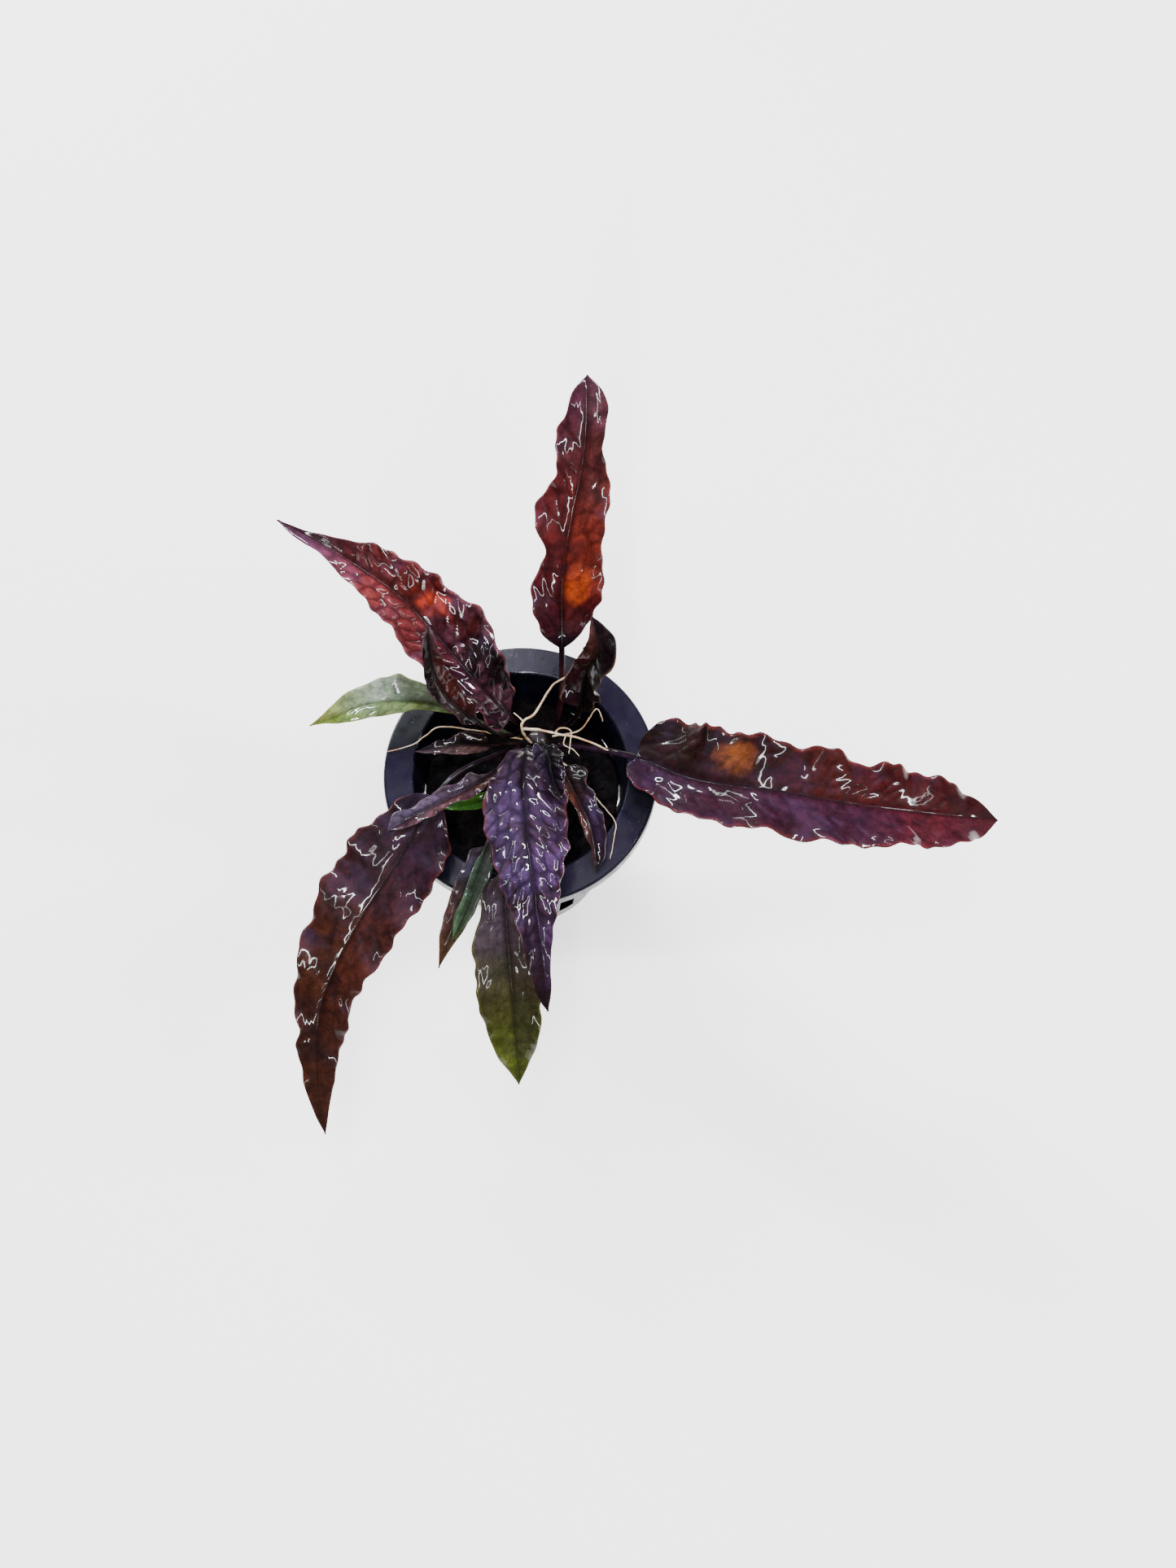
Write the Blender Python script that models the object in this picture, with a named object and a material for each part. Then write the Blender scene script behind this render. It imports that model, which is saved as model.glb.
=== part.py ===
"""A small brown water trumpet, Cryptocoryne wendtii, in a black net pot.

The plant is a rosette: a short crown stands on the growing medium and every leaf springs from it on
its own stalk.  A leaf is one solid: a round stalk that widens into a wavy blade along the same route.
The pot is one moulding: a tapered basket with two rows of slots and a wide flange with a skirt.
The origin is the centre of the pot's base, +Z is up and -Y is the front.
"""
import math
from typing import NamedTuple

import bmesh
import bpy
import numpy as np

MM = 0.001

# Pot, in millimetres
POT_HEIGHT = 45.0
RIM_RADIUS = 25.0
MOUTH_RADIUS = 19.4
BASE_RADIUS = 15.5
WALL = 1.2
FLOOR = 1.4
FLANGE_FALL = 0.4
SKIRT_DROP = 3.5
SLOT_COUNT = 12
SLOT_ANGLE = 11.0
BAR_COLUMNS = 2
SLOT_LEVELS = ((5.0, 19.5), (22.0, 34.3))
FLOOR_SLOT = (5.0, 12.5)
MOULD_EDGE = 0.35

# Growing medium and crown
GAP = 0.3
MEDIUM_TOP = 35.5
MEDIUM_SHOULDER = 2.0
MEDIUM_CROWN_RADIUS = 8.0
MEDIUM_DOME = 0.6
MEDIUM_COLUMNS = 24
CROWN_AT = (3.0, 7.2)
CROWN_RADIUS = 2.5
CROWN_TOP = 44.5
CROWN_COLUMNS = 10

# Leaves: thickness of the blade, depth of the rib under it, and where the blade's first station lies,
# as a share of the step to its second
BLADE_THICKNESS = 0.55
RIB_DEPTH = 0.45
FIRST_STATION = 0.2
STALK_STATIONS = 5
ROUTE_STEPS = 24

# Roots
ROOT_SIDES = 5

BROWN = (0.075, 0.022, 0.020)
PURPLE = (0.070, 0.028, 0.045)
RUST = (0.190, 0.040, 0.014)
OLIVE = (0.085, 0.062, 0.018)
GREEN = (0.075, 0.170, 0.020)
LIME = (0.240, 0.360, 0.110)


class Leaf(NamedTuple):
    """What sets one leaf apart; lengths in millimetres, angles in degrees."""
    route: tuple            # midrib, from the crown to the tip
    stalk: float            # share of the route that is bare stalk
    stalk_radius: float
    left: tuple             # half widths of the blade at even steps from the stalk to the tip, on the
    right: tuple            # left and the right as seen from the crown towards the tip
    roll: tuple             # turn about the midrib at the stalk and at the tip
    fold: float             # rise of each half blade from the midrib
    waves: float            # waves of the margin between the stalk and the tip
    ruffle: float           # height of those waves
    start: float            # share of a wave by which they are ahead
    columns: int            # faces across the blade
    colour: tuple


LEAVES = {
    "leaf_back": Leaf(
        ((6.4, 9.6, 41.0), (7.5, 14.0, 49.0), (7.6, 20.0, 57.0), (7.7, 28.7, 64.0), (9.0, 35.5, 70.0),
         (11.7, 47.0, 79.0), (12.2, 57.9, 86.0)),
        0.27, 0.55,
        (0.6, 3.2, 4.1, 5.0, 5.4, 5.3, 4.2, 3.5, 4.5, 6.2, 6.9, 6.2, 4.8, 4.1, 4.6, 5.1, 5.3, 4.0, 3.1,
         2.2, 0.0),
        (0.6, 3.0, 4.8, 5.9, 7.1, 7.5, 7.3, 6.9, 6.3, 6.5, 6.3, 6.1, 5.9, 5.2, 4.3, 3.4, 3.4, 3.6, 3.6,
         2.6, 0.0),
        (0, 8), 8, 3.6, 1.1, 0.55, 6, RUST),
    "leaf_back_left": Leaf(
        ((0.4, 10.2, 42.0), (-2.6, 9.6, 49.5), (-6.6, 12.0, 56.0), (-14.0, 19.0, 62.0),
         (-21.2, 25.0, 67.5), (-30.7, 29.7, 73.0), (-41.1, 33.5, 79.0)),
        0.11, 0.6,
        (0.7, 4.6, 3.4, 4.6, 5.6, 6.2, 6.4, 6.4, 6.4, 6.4, 5.9, 5.5, 5.4, 4.9, 4.0, 3.1, 2.4, 1.6, 1.4,
         1.0, 0.0),
        (0.7, 3.6, 5.0, 5.8, 6.2, 7.1, 8.6, 8.7, 8.0, 7.2, 7.2, 6.3, 6.0, 5.5, 4.8, 3.8, 2.8, 1.8, 0.9,
         0.5, 0.0),
        (0, 0), 10, 6.0, 0.9, 0.0, 6, RUST),
    "leaf_back_left_small": Leaf(
        ((-0.7, 7.4, 44.8), (-3.6, 4.6, 51.5), (-7.6, 5.4, 56.5), (-10.0, 6.2, 59.5), (-12.2, 7.2, 63.0),
         (-13.7, 8.7, 67.0), (-14.4, 10.6, 71.5), (-14.6, 13.8, 79.5)),
        0.34, 0.45,
        (0.6, 2.4, 3.2, 3.3, 3.1, 2.8, 2.4, 2.0, 1.5, 0.8, 0.0),
        (0.6, 2.4, 2.9, 2.9, 2.6, 2.3, 2.0, 1.6, 1.2, 0.7, 0.0),
        (-20, -12), 22, 3.0, 0.6, 0.0, 4, BROWN),
    "leaf_left_lime": Leaf(
        ((-0.6, 8.4, 40.3), (-7.4, 9.4, 45.4), (-12.5, 10.6, 49.2), (-18.7, 11.0, 52.0),
         (-27.5, 10.2, 52.5), (-38.3, 7.6, 48.5)),
        0.3, 0.5,
        (0.6, 1.0, 1.4, 1.8, 2.5, 2.7, 2.9, 2.7, 1.8, 0.7, 0.0),
        (0.6, 2.6, 3.4, 3.8, 4.8, 4.5, 4.0, 3.1, 2.3, 1.2, 0.0),
        (0, 0), 6, 3.0, 0.4, 0.0, 4, LIME),
    "leaf_left_small": Leaf(
        ((-0.5, 6.7, 42.2), (-5.1, 4.8, 46.2), (-10.9, 4.0, 48.4), (-19.0, 2.7, 48.2)),
        0.3, 0.4,
        (0.4, 1.2, 1.7, 2.1, 2.3, 1.9, 1.7, 1.3, 0.9, 0.6, 0.0),
        (0.4, 1.6, 2.2, 2.3, 2.1, 1.6, 1.2, 1.2, 0.8, 0.4, 0.0),
        (0, 0), 12, 3.0, 0.3, 0.0, 4, BROWN),
    "leaf_left": Leaf(
        ((-0.4, 5.2, 44.4), (-4.4, -2.4, 51.2), (-8.9, -6.5, 54.0), (-16.0, -10.8, 55.2),
         (-23.0, -14.2, 53.4)),
        0.24, 0.4,
        (0.4, 0.8, 1.0, 1.7, 2.0, 1.4, 1.5, 1.7, 1.5, 1.0, 0.0),
        (0.4, 0.5, 1.0, 2.0, 1.9, 2.0, 2.0, 1.8, 1.4, 2.2, 0.0),
        (0, 10), 18, 4.0, 0.5, 0.0, 4, BROWN),
    "leaf_left_green": Leaf(
        ((0.0, 4.8, 39.6), (-4.0, -2.6, 43.6), (-9.0, -6.4, 46.0), (-18.7, -6.6, 46.6)),
        0.4, 0.35,
        (0.4, 1.0, 1.3, 1.5, 1.4, 1.3, 1.2, 1.0, 0.8, 0.5, 0.0),
        (0.4, 0.9, 1.2, 1.4, 1.3, 1.2, 1.1, 1.0, 0.8, 0.5, 0.0),
        (0, 0), 8, 2.0, 0.2, 0.0, 4, GREEN),
    "leaf_front_left": Leaf(
        ((-0.9, 6.0, 40.6), (-4.6, 2.2, 47.5), (-12.9, -4.3, 51.0), (-20.9, -18.5, 50.6),
         (-29.0, -31.3, 47.5), (-34.9, -43.3, 41.0), (-35.9, -55.0, 33.0), (-34.9, -62.8, 27.0)),
        0.26, 0.5,
        (2.0, 4.2, 7.0, 7.9, 7.9, 7.9, 7.8, 7.4, 7.2, 7.0, 6.3, 5.8, 5.0, 5.7, 5.2, 4.2, 3.6, 3.0, 2.1,
         1.1, 0.0),
        (3.0, 5.2, 6.8, 8.3, 9.3, 8.9, 9.4, 9.5, 8.1, 8.0, 8.0, 6.1, 5.8, 4.9, 3.1, 3.7, 2.8, 2.4, 1.6,
         1.0, 0.0),
        (0, 0), 5, 6.0, 1.0, 0.0, 6, BROWN),
    "leaf_front_left_small": Leaf(
        ((1.5, 3.7, 38.0), (-2.6, -4.3, 43.5), (-5.8, -15.1, 47.6), (-10.6, -28.3, 48.8),
         (-14.0, -36.7, 44.5)),
        0.48, 0.4,
        (0.6, 1.5, 2.3, 2.6, 2.7, 2.7, 2.4, 1.9, 1.1, 0.5, 0.0),
        (1.0, 2.3, 2.3, 2.7, 2.4, 2.4, 2.3, 1.9, 1.5, 0.8, 0.0),
        (0, 0), 10, 3.0, 0.4, 0.0, 4, OLIVE),
    "leaf_front_sliver": Leaf(
        ((1.7, 3.8, 42.6), (-2.4, -5.1, 48.0), (-4.9, -15.0, 50.4), (-8.4, -26.1, 51.4),
         (-11.3, -32.8, 49.6)),
        0.5, 0.35,
        (0.4, 0.9, 1.5, 2.0, 2.2, 1.8, 1.7, 1.7, 1.4, 0.8, 0.0),
        (0.4, 0.5, 0.8, 1.3, 1.4, 1.3, 1.2, 1.2, 1.4, 0.8, 0.0),
        (0, 0), 14, 2.0, 0.2, 0.0, 4, GREEN),
    "leaf_front": Leaf(
        ((2.6, 3.6, 44.8), (1.4, 1.6, 52.0), (0.9, -5.0, 57.0), (1.6, -16.0, 58.6), (3.1, -26.7, 56.4),
         (4.9, -39.9, 49.0), (5.3, -44.6, 45.0)),
        0.13, 0.6,
        (1.5, 3.4, 4.6, 5.6, 6.8, 7.4, 7.6, 7.2, 7.2, 7.0, 5.9, 5.0, 4.3, 3.6, 2.6, 2.1, 1.5, 1.1, 1.0,
         0.6, 0.0),
        (1.5, 4.4, 4.5, 4.9, 5.8, 7.0, 7.1, 7.3, 6.6, 6.3, 6.0, 5.6, 4.9, 4.2, 3.5, 3.1, 2.9, 2.5, 2.1,
         1.5, 0.0),
        (0, 0), 6, 6.0, 0.9, 0.0, 6, PURPLE),
    "leaf_front_green": Leaf(
        ((3.3, 3.7, 40.2), (0.2, -3.9, 46.2), (-1.8, -14.2, 50.0), (-2.2, -26.0, 50.6),
         (-1.0, -41.6, 45.0), (0.0, -55.0, 33.0)),
        0.42, 0.5,
        (0.6, 2.0, 3.0, 3.7, 4.2, 4.5, 4.8, 5.0, 5.1, 5.1, 5.1, 5.0, 4.8, 4.9, 4.6, 4.2, 3.6, 2.9, 2.0,
         1.0, 0.0),
        (2.0, 3.5, 4.2, 4.3, 4.5, 5.5, 6.2, 6.2, 6.0, 6.1, 6.1, 6.1, 5.8, 5.4, 4.9, 4.4, 3.9, 3.2, 2.3,
         1.1, 0.0),
        (0, 0), 6, 4.0, 0.5, 0.0, 6, OLIVE),
    "leaf_young": Leaf(
        ((4.6, 5.0, 46.2), (4.7, 2.6, 52.0), (4.8, 0.2, 57.0), (5.3, -2.6, 59.5), (5.9, -6.0, 60.6),
         (6.7, -8.6, 60.6), (7.6, -10.7, 59.9)),
        0.46, 0.4,
        (0.8, 1.5, 2.2, 2.7, 2.8, 2.4, 2.5, 2.2, 1.6, 1.3, 0.0),
        (0.8, 1.4, 2.4, 2.6, 2.8, 2.7, 2.2, 2.0, 1.5, 1.2, 0.0),
        (0, 0), 20, 2.0, 0.7, 0.0, 4, PURPLE),
    "leaf_right_small": Leaf(
        ((5.6, 4.7, 43.4), (7.2, 0.0, 48.4), (9.9, -6.3, 51.0), (12.6, -12.4, 50.8), (13.8, -19.3, 46.8)),
        0.26, 0.4,
        (1.0, 3.0, 3.7, 2.7, 3.0, 2.7, 2.8, 2.5, 2.1, 1.8, 0.0),
        (0.8, 2.0, 2.2, 1.8, 1.3, 1.3, 1.4, 1.2, 0.4, 0.5, 0.0),
        (0, 0), 18, 3.0, 0.5, 0.0, 4, BROWN),
    "leaf_right": Leaf(
        ((6.9, 6.4, 42.0), (12.6, 4.6, 45.2), (21.1, 0.6, 50.5), (31.0, -4.8, 54.5), (43.1, -7.7, 57.0),
         (57.2, -9.9, 56.0), (72.0, -10.4, 52.0), (86.0, -9.7, 46.0)),
        0.2, 0.6,
        (6.0, 9.0, 9.5, 9.4, 9.7, 9.5, 9.2, 9.0, 8.7, 8.6, 8.8, 8.6, 7.2, 7.5, 7.8, 7.2, 6.6, 5.8, 4.8,
         3.2, 0.0),
        (3.8, 5.8, 6.1, 7.2, 7.9, 7.8, 8.1, 8.1, 8.2, 8.9, 8.1, 8.6, 8.1, 7.7, 7.1, 6.9, 6.5, 5.8, 4.8,
         3.2, 0.0),
        (0, 0), 12, 6.0, 1.1, 0.0, 6, RUST),
    "leaf_back_curled": Leaf(
        ((6.7, 8.4, 44.4), (9.4, 8.4, 48.8), (10.8, 9.0, 53.0), (11.2, 11.2, 56.0), (11.8, 12.8, 59.5),
         (13.1, 13.9, 63.5), (13.9, 15.3, 68.0), (12.9, 18.2, 73.0)),
        0.29, 0.45,
        (1.2, 3.1, 3.3, 3.1, 2.6, 2.1, 2.2, 2.3, 1.8, 1.1, 0.0),
        (1.2, 3.1, 3.8, 5.0, 4.9, 4.6, 4.3, 3.8, 2.7, 1.5, 0.0),
        (20, -12), 26, 2.0, 0.8, 0.0, 4, OLIVE),
}

# Roots: each run is its radius and the points that it passes through; the first run is the trunk and
# the others branch off it
ROOTS = {
    "root_main": (
        (0.26, ((1.9, 5.6, 45.2), (0.9, 5.2, 49.5), (0.4, 5.6, 53.0), (1.0, 6.6, 53.8), (2.8, 7.8, 54.2),
                (5.9, 12.8, 54.8), (9.6, 15.5, 54.0))),
        (0.26, ((0.35, 5.5, 52.6), (3.3, 4.9, 53.4), (6.4, 4.3, 53.2), (9.2, 3.9, 52.8), (11.9, 3.3, 52.2),
                (16.0, 2.1, 50.6))),
        (0.15, ((0.9, 6.3, 53.5), (-0.2, 7.5, 53.4), (-1.1, 8.3, 53.0))),
        (0.15, ((6.3, 4.35, 53.2), (7.3, 5.0, 54.0), (8.9, 4.7, 54.2), (9.3, 3.6, 54.2), (8.8, 0.7, 52.2))),
        (0.12, ((8.3, 4.05, 53.0), (8.0, 1.9, 53.8), (9.5, 1.3, 53.0), (10.8, 0.4, 52.0))),
    ),
    "root_left": (
        (0.18, ((0.2, 7.6, 41.6), (-4.2, 7.3, 44.8), (-8.0, 7.4, 46.6), (-14.6, 7.8, 47.5),
                (-17.3, 6.4, 46.6), (-20.0, 4.8, 45.9), (-24.4, 3.7, 45.6))),
    ),
    "root_back": (
        (0.17, ((5.8, 7.6, 43.4), (10.8, 7.7, 46.2), (13.6, 10.2, 50.0), (14.6, 9.6, 49.0),
                (15.0, 9.0, 47.0))),
    ),
    "root_front": (
        (0.15, ((5.3, 5.4, 41.0), (9.0, 1.0, 43.6), (14.2, -5.6, 45.0), (17.1, -9.8, 45.8),
                (16.9, -13.0, 45.7), (16.3, -16.9, 45.5))),
    ),
}


def smooth_route(points, shares):
    """Points at the given shares of the length of a smooth curve through the listed points.

    Each span is a Catmull-Rom cubic; the end points are repeated beyond the ends by reflection.
    """
    knots = np.array(points, dtype=float)
    knots = np.vstack([2 * knots[0] - knots[1], knots, 2 * knots[-1] - knots[-2]])
    t = np.linspace(0.0, 1.0, ROUTE_STEPS, endpoint=False)[:, None]
    spans = []
    for a, b, c, d in zip(knots, knots[1:], knots[2:], knots[3:]):
        spans.append(0.5 * (2 * b + (c - a) * t + (2 * a - 5 * b + 4 * c - d) * t ** 2
                            + (3 * b - a - 3 * c + d) * t ** 3))
    curve = np.vstack(spans + [knots[-2:-1]])
    run = np.concatenate([[0.0], np.cumsum(np.linalg.norm(np.diff(curve, axis=0), axis=1))])
    return np.stack([np.interp(shares * run[-1], run, curve[:, k]) for k in range(3)], axis=1)


def frames_along(route, roll):
    """Unit side and normal of the blade at each point of a route.

    The side is level and square to the route, the normal looks up; roll turns both about the route.
    """
    along = np.gradient(route, axis=0)
    along /= np.linalg.norm(along, axis=1, keepdims=True)
    side = np.cross(along, (0.0, 0.0, 1.0))
    side /= np.linalg.norm(side, axis=1, keepdims=True)
    normal = np.cross(side, along)
    turn = np.radians(roll)[:, None]
    return side * np.cos(turn) + normal * np.sin(turn), normal * np.cos(turn) - side * np.sin(turn)


def smoothstep(x):
    x = np.clip(x, 0.0, 1.0)
    return x * x * (3 - 2 * x)


def between(values, u):
    """A smooth curve through values at even steps, read at shares u of its length."""
    knots = np.concatenate([[2 * values[0] - values[1]], values, [2 * values[-1] - values[-2]]])
    place_along = np.clip(u, 0.0, 1.0) * (len(values) - 1)
    i = np.minimum(place_along.astype(int), len(values) - 2)
    t = place_along - i
    a, b, c, d = knots[i], knots[i + 1], knots[i + 2], knots[i + 3]
    return 0.5 * (2 * b + (c - a) * t + (2 * a - 5 * b + 4 * c - d) * t ** 2
                  + (3 * b - a - 3 * c + d) * t ** 3)


def leaf_surface(leaf):
    """Rings of points round a leaf, from the stalk's foot to just short of the tip.

    Round each ring, k goes from the right margin over the top to the left margin and back below.
    The blade is BLADE_THICKNESS thick, and its stalk's thickness runs out along the midrib.
    """
    stalk_shares = np.linspace(0.0, leaf.stalk, STALK_STATIONS, endpoint=False)
    u_blade = np.linspace(0.0, 1.0, len(leaf.left))[:-1]
    u_blade[0] = FIRST_STATION * u_blade[1]
    shares = np.concatenate([stalk_shares, leaf.stalk + (1 - leaf.stalk) * u_blade])
    u = np.concatenate([np.zeros(STALK_STATIONS), u_blade])[:, None]
    route = smooth_route(leaf.route, shares)
    roll = np.interp(shares, (leaf.stalk, 1.0), leaf.roll)
    side, normal = frames_along(route, roll)
    is_blade = (u > 0).astype(float)

    n = leaf.columns
    k = np.arange(2 * n)
    around = math.pi * k / n
    across = np.where(k <= n, 1 - 2 * k / n, 2 * k / n - 3)
    x = np.cos(around) * (1 - is_blade) + across * is_blade
    left, right = between(leaf.left, u), between(leaf.right, u)
    half = np.where(x > 0, right, left)
    half = np.maximum(half, leaf.stalk_radius * (1 - 0.7 * u)) * is_blade + leaf.stalk_radius * (1 - is_blade)
    fullness = (left + right) / (max(leaf.left) + max(leaf.right))

    core = leaf.stalk_radius - BLADE_THICKNESS / 2
    midrib = np.exp(-(x * half / leaf.stalk_radius) ** 2) * (1 - smoothstep(6 * u))
    thick = BLADE_THICKNESS / 2 + core * (midrib * is_blade + 1 - is_blade)
    height = thick * np.sin(around) * (1 - 0.5 * u)
    height -= RIB_DEPTH * (k == 3 * n // 2) * is_blade * (1 - u)

    wide = smoothstep(fullness * 1.3) * is_blade
    phase = 2 * math.pi * (leaf.waves * u + leaf.start) + np.where(x > 0, 0.0, math.pi / 2)
    lift = np.abs(x) * half * math.tan(math.radians(leaf.fold)) * wide
    lift = lift + leaf.ruffle * x ** 2 * np.sin(phase) * wide
    rings = (route[:, None, :] + (x * half)[:, :, None] * side[:, None, :]
             + (height + lift)[:, :, None] * normal[:, None, :])
    tip = smooth_route(leaf.route, np.array([1.0]))[0]
    return rings, tip


def closed_mesh(name, rings, start, end):
    """One closed skin over rings of points, with a fan to a start point and one to an end point.

    The diagonals of the second half of each ring mirror those of the first half.  The two sides of a thin
    blade are then folded alike and never meet, however the blade is waved.
    """
    rows, columns = rings.shape[:2]
    points = np.vstack([rings.reshape(-1, 3), start, end]) * MM
    i, j = np.meshgrid(np.arange(rows - 1), np.arange(columns), indexing="ij")
    a = i * columns + j
    b = i * columns + (j + 1) % columns
    c = a + columns
    d = b + columns
    over = (j < columns // 2)[..., None]
    first = np.where(over, np.stack([a, b, d], axis=-1), np.stack([a, b, c], axis=-1))
    second = np.where(over, np.stack([a, d, c], axis=-1), np.stack([b, d, c], axis=-1))
    skin = np.concatenate([first, second]).reshape(-1, 3)
    ring = np.arange(columns)
    after = (ring + 1) % columns
    last = (rows - 1) * columns
    foot = np.stack([after, ring, np.full(columns, rows * columns)], axis=-1)
    head = np.stack([last + ring, last + after, np.full(columns, rows * columns + 1)], axis=-1)
    mesh = bpy.data.meshes.new(name)
    mesh.from_pydata(points.tolist(), [], np.vstack([skin, foot, head]).tolist())
    return outward(mesh)


def outward(mesh):
    """Turn every face of a closed mesh outwards."""
    work = bmesh.new()
    work.from_mesh(mesh)
    bmesh.ops.recalc_face_normals(work, faces=work.faces)
    work.to_mesh(mesh)
    work.free()
    return mesh


def finish(name, rgb, roughness):
    """A plain wet-looking or moulded finish."""
    material = bpy.data.materials.new(name)
    material.use_nodes = True
    shader = material.node_tree.nodes["Principled BSDF"]
    shader.inputs["Base Color"].default_value = (*rgb, 1.0)
    shader.inputs["Roughness"].default_value = roughness
    shader.inputs["Metallic"].default_value = 0.0
    material.diffuse_color = (*rgb, 1.0)
    return material


def place(mesh, rgb, roughness, sharp=40.0):
    """Put a mesh in the scene under its own name, with its own finish."""
    mesh.shade_smooth()
    mesh.set_sharp_from_angle(angle=math.radians(sharp))
    thing = bpy.data.objects.new(mesh.name, mesh)
    mesh.materials.append(finish(mesh.name + "_finish", rgb, roughness))
    bpy.context.scene.collection.objects.link(thing)
    return thing


def add_leaf(name, leaf):
    rings, tip = leaf_surface(leaf)
    mesh = closed_mesh(name, rings, np.array(leaf.route[0]), tip)
    return place(mesh, leaf.colour, 0.25, sharp=60.0)


def wall_radius(z):
    """Outer radius of the tapered basket at a height."""
    top = MOUTH_RADIUS + WALL
    return BASE_RADIUS + (top - BASE_RADIUS) * z / POT_HEIGHT


def pot_profile():
    """Under side and upper side of the moulding, from the hub of its floor out, up and over the rim.

    Each entry is (under r, under z, upper r, upper z); the two sides share their stations.
    """
    profile = [(FLOOR_SLOT[0], 0.0, FLOOR_SLOT[0], FLOOR), (FLOOR_SLOT[1], 0.0, FLOOR_SLOT[1], FLOOR),
               (BASE_RADIUS, 0.0, BASE_RADIUS - WALL, FLOOR)]
    for level in sorted(z for pair in SLOT_LEVELS for z in pair):
        profile.append((wall_radius(level), level, wall_radius(level) - WALL, level))
    under = POT_HEIGHT - WALL
    profile += [
        (wall_radius(under), under, MOUTH_RADIUS, POT_HEIGHT - MOULD_EDGE),
        (wall_radius(under) + MOULD_EDGE, under, MOUTH_RADIUS + MOULD_EDGE, POT_HEIGHT),
        (RIM_RADIUS - WALL, under - FLANGE_FALL, RIM_RADIUS - MOULD_EDGE, POT_HEIGHT - FLANGE_FALL),
        (RIM_RADIUS - WALL, under - 2 * FLANGE_FALL, RIM_RADIUS, POT_HEIGHT - FLANGE_FALL - MOULD_EDGE),
        (RIM_RADIUS - WALL, POT_HEIGHT - SKIRT_DROP, RIM_RADIUS, POT_HEIGHT - SKIRT_DROP),
    ]
    return profile


def add_pot():
    """The pot, as a ring of cells round its profile, less the cells where the slots are."""
    profile = np.array(pot_profile())
    period = 360.0 / SLOT_COUNT
    bar = (period - SLOT_ANGLE) / BAR_COLUMNS
    angles = []
    for slot in range(SLOT_COUNT):
        start = slot * period - SLOT_ANGLE / 2
        angles.append(start)
        angles += [start + SLOT_ANGLE + bar * step for step in range(BAR_COLUMNS)]
    turn = np.radians(np.array(angles))
    columns = len(turn)
    rows = len(profile)
    circle = np.stack([np.cos(turn), np.sin(turn)], axis=-1)
    work = bmesh.new()
    under = [[work.verts.new((*(circle[j] * r * MM), z * MM)) for j in range(columns)]
             for r, z, _, _ in profile]
    upper = [[work.verts.new((*(circle[j] * r * MM), z * MM)) for j in range(columns)]
             for _, _, r, z in profile]
    slot_rows = {0} | {3 + 2 * level for level in range(len(SLOT_LEVELS))}
    slot_columns = set(range(0, columns, 1 + BAR_COLUMNS))

    def solid(i, j):
        inside = 0 <= i < rows - 1
        return inside and not (i in slot_rows and j % columns in slot_columns)

    for i in range(rows - 1):
        for j in range(columns):
            k = (j + 1) % columns
            if not solid(i, j):
                continue
            work.faces.new((under[i][j], under[i][k], under[i + 1][k], under[i + 1][j]))
            work.faces.new((upper[i][k], upper[i][j], upper[i + 1][j], upper[i + 1][k]))
            if not solid(i, j - 1):
                work.faces.new((under[i][j], under[i + 1][j], upper[i + 1][j], upper[i][j]))
            if not solid(i, j + 1):
                work.faces.new((under[i + 1][k], under[i][k], upper[i][k], upper[i + 1][k]))
            if not solid(i + 1, j):
                work.faces.new((under[i + 1][j], under[i + 1][k], upper[i + 1][k], upper[i + 1][j]))
            if not solid(i - 1, j) and i > 0:
                work.faces.new((under[i][k], under[i][j], upper[i][j], upper[i][k]))
    for j in slot_columns:
        k = (j + 1) % columns
        work.faces.new((under[0][j], under[0][k], upper[0][k], upper[0][j]))
    for ring, z in ((under[0], 0.0), (upper[0], FLOOR * MM)):
        hub = work.verts.new((0.0, 0.0, z))
        for j in range(columns):
            work.faces.new((hub, ring[j], ring[(j + 1) % columns]))
    bmesh.ops.recalc_face_normals(work, faces=work.faces)
    mesh = bpy.data.meshes.new("pot")
    work.to_mesh(mesh)
    work.free()
    return place(mesh, (0.012, 0.014, 0.022), 0.22, sharp=30.0)


def add_turned(name, centre, profile, columns, rgb, roughness, lumps):
    """A closed turned form: radius and height pairs from its foot to its top, with soft lumps."""
    turn = 2 * math.pi * np.arange(columns) / columns
    radius, height = np.array(profile).T
    shape = 1 + lumps * np.sin(3 * turn[None, :] + height[:, None]) * np.sin(5 * turn[None, :])
    r = radius[:, None] * shape
    rings = np.stack([centre[0] + r * np.cos(turn), centre[1] + r * np.sin(turn),
                      np.broadcast_to(height[:, None], r.shape)], axis=-1)
    start = np.array((*centre, height[0]))
    end = np.array((*centre, height[-1]))
    return place(closed_mesh(name, rings, start, end), rgb, roughness)


def add_medium():
    """Plug of growing medium: it fills the basket, and its top is a little domed and uneven."""
    foot = FLOOR + GAP
    inset = WALL + 3 * GAP
    shoulder = MEDIUM_TOP - MEDIUM_SHOULDER
    profile = [(wall_radius(foot) - inset, foot), (wall_radius(shoulder) - inset, shoulder),
               (wall_radius(MEDIUM_TOP) - inset - MEDIUM_SHOULDER, MEDIUM_TOP - MEDIUM_DOME),
               (MEDIUM_CROWN_RADIUS, MEDIUM_TOP)]
    return add_turned("growing_medium", (0.0, 0.0), profile, MEDIUM_COLUMNS, (0.02, 0.015, 0.012), 0.9, 0.02)


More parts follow.
